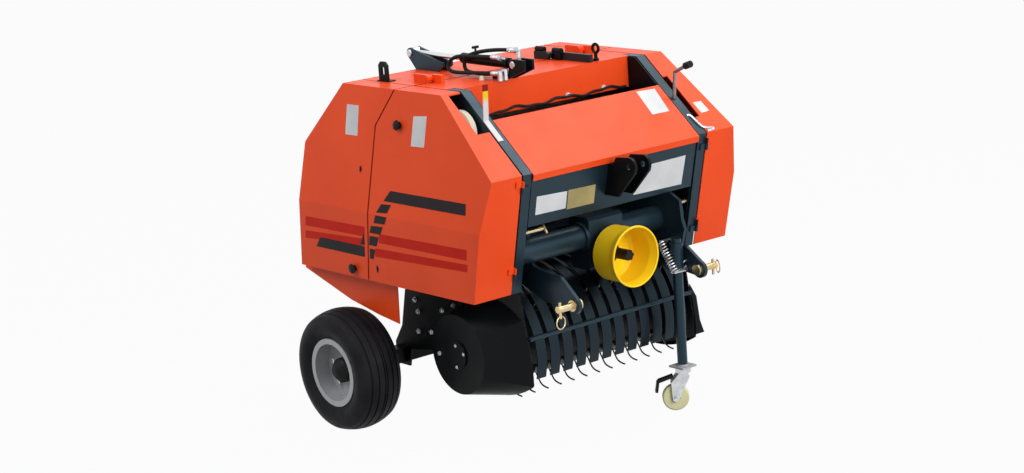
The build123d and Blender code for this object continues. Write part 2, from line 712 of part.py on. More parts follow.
# Pickup reel: a shaft, a sheet drum between two end discs, the tine bars and their rows of tines

reel = cross_rod(REEL_X, REEL_Z, REEL_DRUM_R, -SPIDER_Y, SPIDER_Y)
reel -= cross_rod(REEL_X, REEL_Z, REEL_DRUM_R - SHEET, -SPIDER_Y, SPIDER_Y)
reel += cross_rod(REEL_X, REEL_Z, REEL_SHAFT_R, -PLATE_OUT - DRUM_BOSS_T, PLATE_OUT + DRUM_BOSS_T)
for low in (-SPIDER_Y, SPIDER_Y - SPIDER_T):
    reel += cross_rod(REEL_X, REEL_Z, SPIDER_R, low, low + SPIDER_T)
for k in range(TINE_BARS):
    angle = radians(TINE_DEG + 360 / TINE_BARS * k)
    bar_x = REEL_X + BAR_CIRCLE_R * cos(angle)
    bar_z = REEL_Z + BAR_CIRCLE_R * sin(angle)
    tip_x = REEL_X + TINE_TIP_R * cos(angle)
    tip_z = REEL_Z + TINE_TIP_R * sin(angle)
    reel += cross_rod(bar_x, bar_z, TINE_BAR_R, -SPIDER_Y + SPIDER_T, SPIDER_Y - SPIDER_T)
    for i in range(TINE_COUNT):
        y = (i - (TINE_COUNT - 1) / 2) * TINE_PITCH
        reel += rod((bar_x, y, bar_z), (tip_x, y, tip_z), TINE_R)
nodes["reel"] = reel

# Guard strips: bent flats round the front of the reel, hung on a bar between the side plates; a bent pan
# closes the reel's back


def reel_point(radius, angle):
    """(x, z) at a radius and an angle round the reel's axis."""
    return (REEL_X + radius * cos(radians(angle)), REEL_Z + radius * sin(radians(angle)))


def bent_strip(y, radius, thick, first, last):
    """The section of a strip bent round the reel's axis between two angles, at one Y."""
    middle = (first + last) / 2
    outer = [reel_point(radius, a) for a in (first, middle, last)]
    inner = [reel_point(radius - thick, a) for a in (last, middle, first)]
    place = [(x, y, z) for x, z in outer + inner]
    edges = [
        ThreePointArc(*place[:3]),
        Line(place[2], place[3]),
        ThreePointArc(*place[3:]),
        Line(place[5], place[0]),
    ]
    return make_face(Curve() + edges)


end_x, end_z = reel_point(BAND_R, BAND_END_DEG)
guard_strips = block(
    (end_x - BAND_BAR[0], end_x + 4), (-CHAMBER_HALF, CHAMBER_HALF), (end_z - BAND_BAR[1], end_z)
)
for i in range(TINE_COUNT - 1):
    y = (i - (TINE_COUNT - 2) / 2) * TINE_PITCH
    section = bent_strip(y - BAND_W / 2, BAND_R, BAND_T, BAND_START_DEG, BAND_END_DEG)
    guard_strips += extrude(section, amount=BAND_W, dir=(0, 1, 0))
nodes["guard_strips"] = guard_strips
wind_x, wind_z = reel_point(BAND_R + WIND_BAR_R + FIT, WIND_BAR_DEG)
nodes["wind_bar"] = cross_rod(wind_x, wind_z, WIND_BAR_R, -CHAMBER_HALF, CHAMBER_HALF)
pan_section = bent_strip(-CHAMBER_HALF, PAN_R, SHEET, PAN_START_DEG, PAN_END_DEG)
nodes["pickup_pan"] = extrude(pan_section, amount=2 * CHAMBER_HALF, dir=(0, 1, 0))

# Pickup drums: flared sheet shells outside the side plates, closed by a disc with a bearing boss

DRUM_QUARTERS = (-45.0, 45.0, 135.0, 225.0)
DRUM_FLARE = [(431.0, 207.0), (395.0, 415.0), (90.0, 420.0), (75.0, 190.0)]  # (x, z) of the flared corners
DRUM_MIDS = [(429.0, 300.0), (255.0, 470.0), (38.0, 300.0), (250.0, 152.0)]  # (x, z) between them


def drum_section(y, corners, mids, shrink):
    """A closed face of four arcs at one Y, drawn in towards the reel's axis by shrink."""
    pulled = []
    for x, z in [point for pair in zip(corners, mids) for point in pair]:
        away = hypot(x - REEL_X, z - REEL_Z)
        keep = (away - shrink) / away
        pulled.append((REEL_X + (x - REEL_X) * keep, y, REEL_Z + (z - REEL_Z) * keep))
    edges = []
    for i in range(4):
        edges.append(ThreePointArc(pulled[2 * i], pulled[2 * i + 1], pulled[(2 * i + 2) % 8]))
    return make_face(Curve() + edges)


disc_corners = [reel_point(DRUM_R, a) for a in DRUM_QUARTERS]
disc_mids = [reel_point(DRUM_R, a + 45) for a in DRUM_QUARTERS]
outer_drum = loft(
    [drum_section(PLATE_OUT, DRUM_FLARE, DRUM_MIDS, 0), drum_section(DRUM_Y, disc_corners, disc_mids, 0)],
    ruled=True,
)
inner_drum = loft(
    [
        drum_section(PLATE_OUT, DRUM_FLARE, DRUM_MIDS, SHEET),
        drum_section(DRUM_Y - SHEET, disc_corners, disc_mids, SHEET),
    ],
    ruled=True,
)
drum = outer_drum - inner_drum
drum += cross_rod(REEL_X, REEL_Z, DRUM_BOSS_R, DRUM_Y - SHEET, DRUM_Y + DRUM_BOSS_T)
nodes["pickup_drum_left"] = drum

# Crop wing: a plate that stands out from the left side plate at the front of the pickup

WING_X = 411.0
WING_OUTLINE = [
    (PLATE_OUT, 208.0),
    (PLATE_OUT + 56, 208.0),
    (PLATE_OUT + 39, 253.0),
    (PLATE_OUT + 28, 337.0),
    (PLATE_OUT, 385.0),
]
nodes["crop_wing"] = bar(WING_OUTLINE, WING_X, SHEET) - outer_drum
nodes["pickup_drum_right"] = mirrored(drum)

# Parking stand: a socket on the left arm, a sliding pole, and a swivelling caster below it

socket = rod((STAND_X, STAND_Y, SOCKET_Z[0]), (STAND_X, STAND_Y, SOCKET_Z[1]), SOCKET_R)
socket += block(
    (STAND_X - POLE_R / 2, STAND_X + POLE_R / 2), (STAND_Y, ARM_LEFT_Y), (SOCKET_Z[0] + 15, SOCKET_Z[1] - 15)
)
socket -= rod((STAND_X, STAND_Y, SOCKET_Z[0] - 1), (STAND_X, STAND_Y, SOCKET_Z[1] + 1), POLE_R + FIT)
nodes["stand_socket"] = socket

PLATE_LOW_Z = POLE_Z[0] - STAND_PLATE_T
HEAD_TOP_Z = PLATE_LOW_Z - FIT
HEAD_LOW_Z = HEAD_TOP_Z - FORK_HEAD_T
NUT_TOP_Z = HEAD_LOW_Z - FIT
pole = rod((STAND_X, STAND_Y, POLE_Z[0]), (STAND_X, STAND_Y, POLE_Z[1]), POLE_R)
pole += block(
    (STAND_X - STAND_PLATE, STAND_X + STAND_PLATE),
    (STAND_Y - STAND_PLATE, STAND_Y + STAND_PLATE),
    (PLATE_LOW_Z, POLE_Z[0]),
)
pole += rod((STAND_X, STAND_Y, NUT_TOP_Z - KING_NUT_T), (STAND_X, STAND_Y, PLATE_LOW_Z), KING_PIN_R)
pole += rod((STAND_X, STAND_Y, NUT_TOP_Z - KING_NUT_T), (STAND_X, STAND_Y, NUT_TOP_Z), KING_NUT_R)
nodes["stand_pole"] = pole

caster_x = STAND_X - CASTER_TRAIL
caster_z = FLOOR_Z + CASTER_R
LEG_OUTLINE = [
    (caster_x - LEG_FOOT_R, caster_z),
    (caster_x + LEG_FOOT_R, caster_z),
    (STAND_X + FORK_INNER, HEAD_LOW_Z - 10),
    (STAND_X + 10, HEAD_LOW_Z + 6),
    (STAND_X - 10, HEAD_LOW_Z + 6),
    (caster_x - 14, HEAD_LOW_Z - 30),
]
fork = rod((STAND_X, STAND_Y, HEAD_LOW_Z), (STAND_X, STAND_Y, HEAD_TOP_Z), FORK_HEAD_R)
for low in (STAND_Y - FORK_INNER - FORK_T, STAND_Y + FORK_INNER):
    fork += sheet(LEG_OUTLINE, low, FORK_T)
    fork += cross_rod(caster_x, caster_z, LEG_FOOT_R, low, low + FORK_T)
fork += cross_rod(caster_x, caster_z, CASTER_AXLE_R, STAND_Y - FORK_INNER, STAND_Y + FORK_INNER)
fork -= rod((STAND_X, STAND_Y, HEAD_LOW_Z - 1), (STAND_X, STAND_Y, HEAD_TOP_Z + 1), KING_PIN_R + RUNNING)

caster = cross_rod(caster_x, caster_z, CASTER_R, STAND_Y - CASTER_W / 2, STAND_Y + CASTER_W / 2)
caster = fillet(caster.edges().filter_by(GeomType.CIRCLE), CASTER_ROUND)
hub_reach = FORK_INNER - FIT
caster += cross_rod(caster_x, caster_z, CASTER_HUB_R, STAND_Y - hub_reach, STAND_Y + hub_reach)
caster -= cross_rod(caster_x, caster_z, CASTER_AXLE_R + RUNNING, STAND_Y - CASTER_R, STAND_Y + CASTER_R)

turned = Pos(STAND_X, STAND_Y, 0) * Rot(0, 0, CASTER_TURN_DEG) * Pos(-STAND_X, -STAND_Y, 0)
nodes["caster_fork"] = turned * fork
nodes["caster_wheel"] = turned * caster

# Tailgate: one folded shell over the top and back, two side walls, and a shelf with a skirt each side

GATE_REGION = [
    (SEAM_FOOT_X - SEAM, GATE_LOW_Z),
    (SEAM_FOOT_X - SEAM, FOOT_Z),
    (SEAM_CREASE_X - SEAM, CREASE_Z),
    (SEAM_MID[0] - SEAM, SEAM_MID[1]),
    (HINGE_X - SEAM_GAP, TOP_Z),
    (REAR_TOP_X, TOP_Z),
    REAR_SHOULDER,
    (REAR_CREASE_X, CREASE_Z),
    *GATE_TAIL,
]
gate_walls = [OPEN] * 4 + [SHEET] * 7
gate_shell = sheet(GATE_REGION, -PANEL_HALF, 2 * PANEL_HALF)
gate_shell -= sheet(inset(GATE_REGION, gate_walls), -PANEL_HALF, 2 * PANEL_HALF)
for y, rib_length in HINGES:
    gate_shell += block(
        (HINGE_X - GATE_RIB, HINGE_X),
        (y - rib_side - HINGE_RIB, y - rib_side),
        (TOP_Z - SHEET, HINGE_TOP_Z),
    )
    gate_shell += cross_rod(HINGE_X, HINGE_Z, HINGE_R, y - HINGE_KNUCKLE, y - FIT)
for y, rib_length in HINGES:
    gate_shell -= cross_rod(HINGE_X, HINGE_Z, HINGE_PIN_R + RUNNING, y - HINGE_KNUCKLE - 1, y)
for leaf_piece in rear_fixed:
    gate_shell += leaf_piece
    gate_shell += mirrored(leaf_piece)
nodes["gate_shell"] = gate_shell

wall_outline = inset(GATE_REGION, [0.01] * 4 + [SHEET] * 7)
gate_wall = sheet(wall_outline, CHAMBER_HALF, PLATE_T)
nodes["gate_wall_left"] = gate_wall
nodes["gate_wall_right"] = mirrored(gate_wall)

skirt = sheet(SKIRT_LOW + [(SKIRT_FRONT_X, SKIRT_TOP_Z), (SKIRT_LOW[0][0], SKIRT_TOP_Z)], SKIRT_Y - SHEET, SHEET)
skirt += block(SHELF_X, (PLATE_OUT, SKIRT_Y), (SKIRT_TOP_Z - SHEET, SKIRT_TOP_Z))
nodes["gate_skirt_left"] = skirt
nodes["gate_skirt_right"] = mirrored(skirt)

# Lug for the cylinder and the lifting eye, both on the tailgate's top

LUG_OUTLINE = [
    (REAR_TOP_X + 4, TOP_Z),
    (-170.0, TOP_Z),
    (-141.0, TOP_Z + 19),
    (-141.0, TOP_Z + 30),
    (ROD_EYE[0] + 8, ROD_EYE[1] + CYL_EYE_R - 2),
    (ROD_EYE[0] - 10, ROD_EYE[1] - CYL_EYE_R + 3),
]
lug_gap = CYL_EYE_HALF + FIT
lugs = []
for low in (CYL_Y - lug_gap - LUG_T, CYL_Y + lug_gap):
    lugs.append(sheet(LUG_OUTLINE, low, LUG_T) + cross_rod(*ROD_EYE, CYL_EYE_R, low, low + LUG_T))
nodes["gate_lug"] = Compound(lugs)

eye_middle = sum(LIFT_EYE_X) / 2
eye_width = LIFT_EYE_X[1] - LIFT_EYE_X[0]
lifting_eye = block(LIFT_EYE_X, (-LIFT_EYE_Y[1], -LIFT_EYE_Y[0]), (TOP_Z, TOP_Z + LIFT_EYE_RISE))
lifting_eye = chamfer(lifting_eye.edges().filter_by(Axis.Y).group_by(Axis.Z)[-1], eye_width / 4)
slot_top = TOP_Z + LIFT_EYE_RISE - LIFT_SLOT_DOWN
lifting_eye -= block(
    (eye_middle - LIFT_SLOT[0] / 2, eye_middle + LIFT_SLOT[0] / 2),
    (-LIFT_EYE_Y[1] - 1, -LIFT_EYE_Y[0] + 1),
    (slot_top - LIFT_SLOT[1], slot_top),
)
lifting_eye += block(
    (LIFT_EYE_X[0] - 6, LIFT_EYE_X[1] + 6),
    (-PANEL_HALF, -LIFT_EYE_Y[0] + 20),
    (TOP_Z, TOP_Z + SHEET),
)
nodes["gate_lifting_eye"] = lifting_eye

# Hydraulic cylinder of the tailgate: bracket on the frame, barrel, and rod that ends in the lug

CYL_SPAN = hypot(ROD_EYE[0] - CYL_BASE[0], ROD_EYE[1] - CYL_BASE[1])


def on_cylinder(distance):
    """A point on the cylinder's axis, measured from its base pin."""
    share = distance / CYL_SPAN
    x = CYL_BASE[0] + (ROD_EYE[0] - CYL_BASE[0]) * share
    return (x, CYL_Y, CYL_BASE[1] + (ROD_EYE[1] - CYL_BASE[1]) * share)


BRACKET_OUTLINE = [
    (110.0, TOP_Z),
    (INNER_WALL_X, TOP_Z),
    (270.0, TOP_Z + 34),
    (270.0, CYL_BASE[1] + CYL_EYE_R),
    (CYL_BASE[0], CYL_BASE[1] + CYL_EYE_R + 1),
    (CYL_BASE[0] - 18, CYL_BASE[1] + 5),
    (CYL_BASE[0] - 25, TOP_Z + 19),
    (110.0, TOP_Z + 9),
]
bracket = cross_rod(*CYL_BASE, CYL_PIN_R, CYL_Y - lug_gap - LUG_T, CYL_Y + lug_gap + LUG_T)
for low in (CYL_Y - lug_gap - LUG_T, CYL_Y + lug_gap):
    bracket += sheet(BRACKET_OUTLINE, low, LUG_T)
nodes["cylinder_bracket"] = bracket

eye_y = (CYL_Y - CYL_EYE_HALF, CYL_Y + CYL_EYE_HALF)
barrel = rod(on_cylinder(BARREL_FROM), on_cylinder(BARREL_TO), BARREL_R)
barrel += rod(on_cylinder(0), on_cylinder(BARREL_FROM + 5), CYL_EYE_HALF - FIT)
barrel += cross_rod(*CYL_BASE, CYL_EYE_R, *eye_y)
barrel -= cross_rod(*CYL_BASE, CYL_PIN_R + RUNNING, eye_y[0] - 1, eye_y[1] + 1)
barrel -= rod(on_cylinder(BARREL_FROM + 5), on_cylinder(BARREL_TO + 5), ROD_R + RUNNING)
nodes["cylinder_barrel"] = barrel

rod_piece = rod(on_cylinder(ROD_FROM), on_cylinder(CYL_SPAN - CYL_EYE_R / 2), ROD_R)
rod_piece += cross_rod(*ROD_EYE, CYL_EYE_R, *eye_y)
nodes["cylinder_rod"] = rod_piece

# Twine spool on the right side plate, tying lever on the left upright, lifting ring on the top panel

spool = cross_rod(SPOOL_X, SPOOL_Z, SPOOL_R, -SPOOL_Y[1], -SPOOL_Y[0])
spool += cross_rod(SPOOL_X, SPOOL_Z, SPOOL_SHAFT_R, -SPOOL_Y[1] - SPOOL_SHAFT_OUT, -PLATE_OUT)
nodes["twine_spool"] = spool

lever_y = UPRIGHT_Y + UPRIGHT_W / 2
lever_foot = slope_z(LEVER_X)
lever_path = [(LEVER_X + dx, lever_y, lever_foot + dz) for dx, dz in ((0.0, 0.0), LEVER_BEND, LEVER_KNOB, LEVER_END)]
lever = rod(lever_path[2], lever_path[3], LEVER_GRIP_R)
for start, end in zip(lever_path[:2], lever_path[1:3]):
    lever += rod(start, end, LEVER_R)
lever += Pos(*lever_path[1]) * Sphere(LEVER_R)
lever -= sheet([(SLOPE_X, TOP_Z), (SLOPE_X, NOSE_Z), (NOSE_X, NOSE_Z)], UPRIGHT_Y, UPRIGHT_W)
nodes["tying_lever"] = lever

ring = Pos(RING_X, RING_Y, RING_Z) * Rot(90, 0, 0) * Torus(RING_R, RING_BAR_R)
ring += rod((RING_X, RING_Y, TOP_Z), (RING_X, RING_Y, RING_Z - RING_R), RING_BAR_R + 1)
ring += rod((RING_X, RING_Y, TOP_Z), (RING_X, RING_Y, TOP_Z + 8), 2 * RING_BAR_R)
nodes["lifting_ring"] = ring

# Every piece moves so that the origin is under the middle of the whole machine, on the floor

whole = Compound(list(nodes.values())).bounding_box()
home = Pos(-(whole.min.X + whole.max.X) / 2, -(whole.min.Y + whole.max.Y) / 2, -whole.min.Z)
os.makedirs("parts", exist_ok=True)
for name, shape in nodes.items():
    export_step(home * shape, f"parts/{name}.step")
print("origin moved by", home.position)
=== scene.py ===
import json
import math

import bmesh
import bpy
from mathutils import Matrix, Vector

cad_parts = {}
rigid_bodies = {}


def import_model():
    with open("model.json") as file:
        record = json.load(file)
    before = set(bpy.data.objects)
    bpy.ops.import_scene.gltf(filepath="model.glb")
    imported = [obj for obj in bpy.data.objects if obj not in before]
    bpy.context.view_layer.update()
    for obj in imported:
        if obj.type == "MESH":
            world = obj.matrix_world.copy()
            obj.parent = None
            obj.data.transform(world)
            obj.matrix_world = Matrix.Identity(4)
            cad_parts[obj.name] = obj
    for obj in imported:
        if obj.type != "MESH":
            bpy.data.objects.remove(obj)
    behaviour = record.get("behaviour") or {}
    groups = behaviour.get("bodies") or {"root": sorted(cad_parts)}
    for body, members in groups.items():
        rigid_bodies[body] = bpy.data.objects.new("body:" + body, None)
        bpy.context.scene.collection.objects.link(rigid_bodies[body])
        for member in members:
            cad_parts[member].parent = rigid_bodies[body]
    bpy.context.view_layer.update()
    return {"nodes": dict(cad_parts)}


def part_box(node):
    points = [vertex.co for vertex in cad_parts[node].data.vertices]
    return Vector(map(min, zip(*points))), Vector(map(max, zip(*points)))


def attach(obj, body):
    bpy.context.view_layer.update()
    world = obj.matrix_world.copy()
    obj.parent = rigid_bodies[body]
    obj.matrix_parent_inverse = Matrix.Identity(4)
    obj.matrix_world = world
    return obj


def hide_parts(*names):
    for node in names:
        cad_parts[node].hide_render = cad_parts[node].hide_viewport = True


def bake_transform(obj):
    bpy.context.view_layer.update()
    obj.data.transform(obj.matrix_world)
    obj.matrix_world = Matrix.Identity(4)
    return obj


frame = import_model()

# Viewpoint: the machine was photographed from its front right, a little above the covers, with a long lens.
# The picture is turned a few degrees, and the machine stands a little left of its middle.
AIM = Vector((-0.3095, 0.0, 0.650))
VIEW_AZIMUTH, VIEW_HEIGHT, VIEW_ROLL = (math.radians(angle) for angle in (50.662, 12.834, -4.049))
VIEW_DISTANCE = 7.6737
VIEW_SIDE, VIEW_DROP = 0.1498, -0.1196
SENSOR_WIDTH, LENS = 36.0, 79.09

away = Vector((
    math.sin(VIEW_AZIMUTH) * math.cos(VIEW_HEIGHT),
    -math.cos(VIEW_AZIMUTH) * math.cos(VIEW_HEIGHT),
    math.sin(VIEW_HEIGHT),
))
level = (-away).cross(Vector((0, 0, 1))).normalized()
upwards = level.cross(-away)
right = math.cos(VIEW_ROLL) * level + math.sin(VIEW_ROLL) * upwards
top = math.cos(VIEW_ROLL) * upwards - math.sin(VIEW_ROLL) * level
camera = bpy.data.objects.new("camera", bpy.data.cameras.new("camera"))
camera.data.sensor_fit = "HORIZONTAL"
camera.data.sensor_width = SENSOR_WIDTH
camera.data.lens = LENS
camera.data.clip_end = 200.0
camera.matrix_world = Matrix.Translation(
    AIM + away * VIEW_DISTANCE + right * VIEW_SIDE + top * VIEW_DROP
) @ Matrix((right, top, away)).transposed().to_4x4()
bpy.context.scene.collection.objects.link(camera)
bpy.context.scene.camera = camera
bpy.context.scene.view_settings.view_transform = "Standard"

# Studio: a white sweep under and behind the machine, lit by a soft box in front of it and by two more, one
# high over its left side and one high over its right side.
FLOOR_SIZE = 60.0
FLOOR_BOUNCE, FLOOR_GLOW = 0.25, 0.96
AMBIENT = 0.50
LAMP_AIM = Vector((0, 0, 0.6))
# name, place, size, power in watts
LAMPS = [
    ("front_box", (4.4, 0.2, 2.2), 2.4, 146.0),
    ("top_box", (0.4, 2.0, 4.4), 2.6, 78.0),
    ("side_box", (-1.2, -3.4, 4.1), 2.4, 84.0),
]


def shade_step(tree, kind, **inputs):
    """A shader node with its inputs set, or linked where they are another node's output."""
    step = tree.nodes.new(kind)
    for label, value in inputs.items():
        socket = step.inputs[label.replace("_", " ")]
        if isinstance(value, bpy.types.NodeSocket):
            tree.links.new(value, socket)
        else:
            socket.default_value = value
    return step


def seen_directly(tree):
    """One for camera, mirror and glass rays, and zero for the light that falls on things."""
    path = tree.nodes.new("ShaderNodeLightPath")
    either = shade_step(tree, "ShaderNodeMath", Value=path.outputs["Is Camera Ray"])
    either.operation = "MAXIMUM"
    tree.links.new(path.outputs["Is Glossy Ray"], either.inputs[1])
    both = shade_step(tree, "ShaderNodeMath", Value=either.outputs[0])
    both.operation = "MAXIMUM"
    tree.links.new(path.outputs["Is Transmission Ray"], both.inputs[1])
    return both.outputs[0]


world = bpy.data.worlds.new("studio")
bpy.context.scene.world = world
world.use_nodes = True
air = world.node_tree
strength = shade_step(air, "ShaderNodeMapRange", Value=seen_directly(air), To_Min=AMBIENT, To_Max=1.0)
air.nodes["Background"].inputs["Color"].default_value = (1, 1, 1, 1)
air.links.new(strength.outputs[0], air.nodes["Background"].inputs["Strength"])

for name, spot, size, power in LAMPS:
    lamp = bpy.data.objects.new(name, bpy.data.lights.new(name, "AREA"))
    lamp.data.size = size
    lamp.data.energy = power
    lamp.location = spot
    lamp.rotation_euler = (LAMP_AIM - Vector(spot)).to_track_quat("-Z", "Y").to_euler()
    bpy.context.scene.collection.objects.link(lamp)

sweep = bpy.data.materials.new("white_sweep")
sweep.use_nodes = True
paper = sweep.node_tree
matte = paper.nodes["Principled BSDF"]
matte.inputs["Base Color"].default_value = (FLOOR_BOUNCE, FLOOR_BOUNCE, FLOOR_BOUNCE, 1)
matte.inputs["Roughness"].default_value = 1.0
matte.inputs["Specular IOR Level"].default_value = 0.0
glow = shade_step(paper, "ShaderNodeEmission", Strength=1.0)
glow_share = shade_step(paper, "ShaderNodeMapRange", Value=seen_directly(paper), To_Max=FLOOR_GLOW)
both_looks = shade_step(paper, "ShaderNodeMixShader", Fac=glow_share.outputs[0])
paper.links.new(matte.outputs[0], both_looks.inputs[1])
paper.links.new(glow.outputs[0], both_looks.inputs[2])
paper.links.new(both_looks.outputs[0], paper.nodes["Material Output"].inputs["Surface"])
ground = bmesh.new()
bmesh.ops.create_grid(ground, x_segments=1, y_segments=1, size=FLOOR_SIZE / 2)
floor_mesh = bpy.data.meshes.new("floor")
ground.to_mesh(floor_mesh)
ground.free()
floor = bpy.data.objects.new("floor", floor_mesh)
floor.data.materials.append(sweep)
bpy.context.scene.collection.objects.link(floor)

# Covers, hood, tailgate shell, top panel and skirts: laser-cut sheet, folded and sprayed with orange enamel.
# The paint has a faint orange peel, clouds a little from panel to panel, and is rubbed thin on the folds.
ORANGE = (0.84, 0.074, 0.011)
ORANGE_DEEP = (0.77, 0.062, 0.009)
ORANGE_EDGE = (0.62, 0.045, 0.010)
ORANGE_NODES = [
    "rear_cover_left", "rear_cover_right", "hood", "inner_wall", "gate_skirt_left", "gate_skirt_right",
]
# the hinge knuckles are black: all of a front cover inside this half width, and one place on the top
HINGE_BLACK = (0.010, 0.014, 0.018)
HINGE_HALF_Y = 0.3925
MIDDLE_HINGE = [("Y", 0.160, 0.210), ("Z", 1.1313, 1.20)]


def mix_colour(tree, share, first, second):
    """A colour between two others."""
    mix = tree.nodes.new("ShaderNodeMix")
    mix.data_type = "RGBA"
    tree.links.new(share, mix.inputs["Factor"])
    for socket, value in ((mix.inputs[6], first), (mix.inputs[7], second)):
        if isinstance(value, bpy.types.NodeSocket):
            tree.links.new(value, socket)
        else:
            socket.default_value = (*value, 1)
    return mix.outputs[2]


def own_place(tree):
    """A point's place in its piece's own mesh."""
    return tree.nodes.new("ShaderNodeTexCoord").outputs["Object"]


def mottle(tree, scale, detail=3.0, stretch=(1, 1, 1)):
    """Noise over the piece's own place, drawn out along an axis if stretch says so."""
    spot = own_place(tree)
    if stretch != (1, 1, 1):
        spot = shade_step(tree, "ShaderNodeMapping", Vector=spot, Scale=stretch).outputs[0]
    return shade_step(tree, "ShaderNodeTexNoise", Vector=spot, Scale=scale, Detail=detail).outputs["Fac"]


def between(tree, value, low, high, to_low=0.0, to_high=1.0):
    """A value moved from one range to another and held inside it."""
    return shade_step(
        tree, "ShaderNodeMapRange", Value=value, From_Min=low, From_Max=high, To_Min=to_low, To_Max=to_high
    ).outputs[0]


def rubbed_edges(tree, radius):
    """One where a fold or a cut edge is worn, in patches, and zero on the flats."""
    rounded = tree.nodes.new("ShaderNodeBevel")
    rounded.samples = 4
    rounded.inputs["Radius"].default_value = radius
    flat = tree.nodes.new("ShaderNodeNewGeometry").outputs["Normal"]
    turn = tree.nodes.new("ShaderNodeVectorMath")
    turn.operation = "DOT_PRODUCT"
    tree.links.new(rounded.outputs[0], turn.inputs[0])
    tree.links.new(flat, turn.inputs[1])
    edge = between(tree, turn.outputs["Value"], 0.97, 0.80)
    patches = between(tree, mottle(tree, 55.0, 4.0), 0.50, 0.66)
    worn = shade_step(tree, "ShaderNodeMath", Value=edge)
    worn.operation = "MULTIPLY"
    tree.links.new(patches, worn.inputs[1])
    return worn.outputs[0]


def enamel(name, colour, deep, under, roughness, peel, shine, tint=(1, 1, 1)):
    """Sprayed paint: cloudy colour, orange peel, rubbed edges that show what is under it."""
    paint = bpy.data.materials.new(name)
    paint.use_nodes = True
    tree = paint.node_tree
    shader = tree.nodes["Principled BSDF"]
    clouds = between(tree, mottle(tree, 3.2, 4.0), 0.35, 0.68)
    tone = mix_colour(tree, clouds, colour, deep)
    tone = mix_colour(tree, rubbed_edges(tree, 0.0012), tone, under)
    tree.links.new(tone, shader.inputs["Base Color"])
    tree.links.new(between(tree, mottle(tree, 17.0), 0.3, 0.7, *roughness), shader.inputs["Roughness"])
    skin = shade_step(tree, "ShaderNodeBump", Strength=peel, Distance=0.0006, Height=mottle(tree, 480.0, 2.0))
    tree.links.new(skin.outputs[0], shader.inputs["Normal"])
    shader.inputs["Specular IOR Level"].default_value = shine
    shader.inputs["Specular Tint"].default_value = (*tint, 1)
    return paint


def finish_nodes(names, material):
    """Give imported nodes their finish."""
    for node_name in names:
        for material_slot in frame["nodes"][node_name].material_slots:
            material_slot.material = material


def paint_over(paint, colour, *limits):
    """Spray another colour over the parts of a painted piece whose place lies between limits on each axis."""
    tree = paint.node_tree
    base = tree.nodes["Principled BSDF"].inputs["Base Color"]
    spot = shade_step(tree, "ShaderNodeSeparateXYZ", Vector=own_place(tree))
    inside = None
    for axis, low, high in limits:
        across = shade_step(tree, "ShaderNodeMath", Value=spot.outputs[axis])
        across.operation = "SUBTRACT"
        across.inputs[1].default_value = (low + high) / 2
        distance = shade_step(tree, "ShaderNodeMath", Value=across.outputs[0])
        distance.operation = "ABSOLUTE"
        within = shade_step(tree, "ShaderNodeMath", Value=distance.outputs[0])
        within.operation = "LESS_THAN"
        within.inputs[1].default_value = (high - low) / 2
        if inside is None:
            inside = within.outputs[0]
        else:
            both = shade_step(tree, "ShaderNodeMath", Value=inside)
            both.operation = "MULTIPLY"
            tree.links.new(within.outputs[0], both.inputs[1])
            inside = both.outputs[0]
    tree.links.new(mix_colour(tree, inside, base.links[0].from_socket, colour), base)


def orange(name):
    """The orange enamel, by itself or under another colour."""
    return enamel(name, ORANGE, ORANGE_DEEP, ORANGE_EDGE, (0.34, 0.42), 0.04, 0.20)


finish_nodes(ORANGE_NODES, orange("orange_enamel"))
door_enamel = orange("orange_enamel_black_hinges")
paint_over(door_enamel, HINGE_BLACK, ("Y", -HINGE_HALF_Y, HINGE_HALF_Y))
finish_nodes(["front_cover_left", "front_cover_right"], door_enamel)
top_enamel = orange("orange_enamel_black_middle_hinge")
paint_over(top_enamel, HINGE_BLACK, *MIDDLE_HINGE)
finish_nodes(["top_panel", "gate_shell"], top_enamel)

# Frame: plate, channel and tube, welded and sprayed slate grey with a blue tint. The uprights, cross plate,
# hitch arms, cross tube, gearbox, stand and tailgate walls have this paint. The pole is bare near its foot.
# The guard strips get a near-black slate, which is partly their own darker paint and partly painted shade
# for where they lie low under the frame.
SLATE = (0.010, 0.020, 0.029)
SLATE_DEEP = (0.006, 0.014, 0.020)
SLATE_SHEEN = (0.45, 0.78, 1.0)
BARE_STEEL = (0.10, 0.11, 0.12)
BARE_POLE, BARE_POLE_TOP = (0.42, 0.43, 0.44), 0.1545
# near-black slate of the guard strips: their darker paint, with painted shade for lying low under the frame
GUARD_SLATE_AND_SHADE, GUARD_SLATE_DEEP_AND_SHADE = (0.004, 0.006, 0.008), (0.003, 0.004, 0.005)


def slate(name):
    """The slate enamel, by itself or under another colour."""
    return enamel(name, SLATE, SLATE_DEEP, BARE_STEEL, (0.30, 0.42), 0.10, 0.42, SLATE_SHEEN)


finish_nodes(
    [
        "front_beam", "upright_left", "upright_right", "cross_tube", "gearbox", "wind_bar",
        "gate_lug", "gate_wall_left", "gate_wall_right", "hitch_arm_left", "hitch_arm_right", "cross_plate",
        "stand_socket",
    ],
    slate("slate_enamel"),
)
pole_enamel = slate("pole_enamel")
paint_over(pole_enamel, BARE_POLE, ("Z", 0.0, BARE_POLE_TOP))
finish_nodes(["stand_pole"], pole_enamel)
# the guard strips' enamel, darkened partly as painted shade
strip_enamel_and_shade = enamel(
    "strip_enamel_and_shade", GUARD_SLATE_AND_SHADE, GUARD_SLATE_DEEP_AND_SHADE, BARE_STEEL, (0.26, 0.38), 0.10, 0.34, SLATE_SHEEN
)
finish_nodes(["guard_strips"], strip_enamel_and_shade)

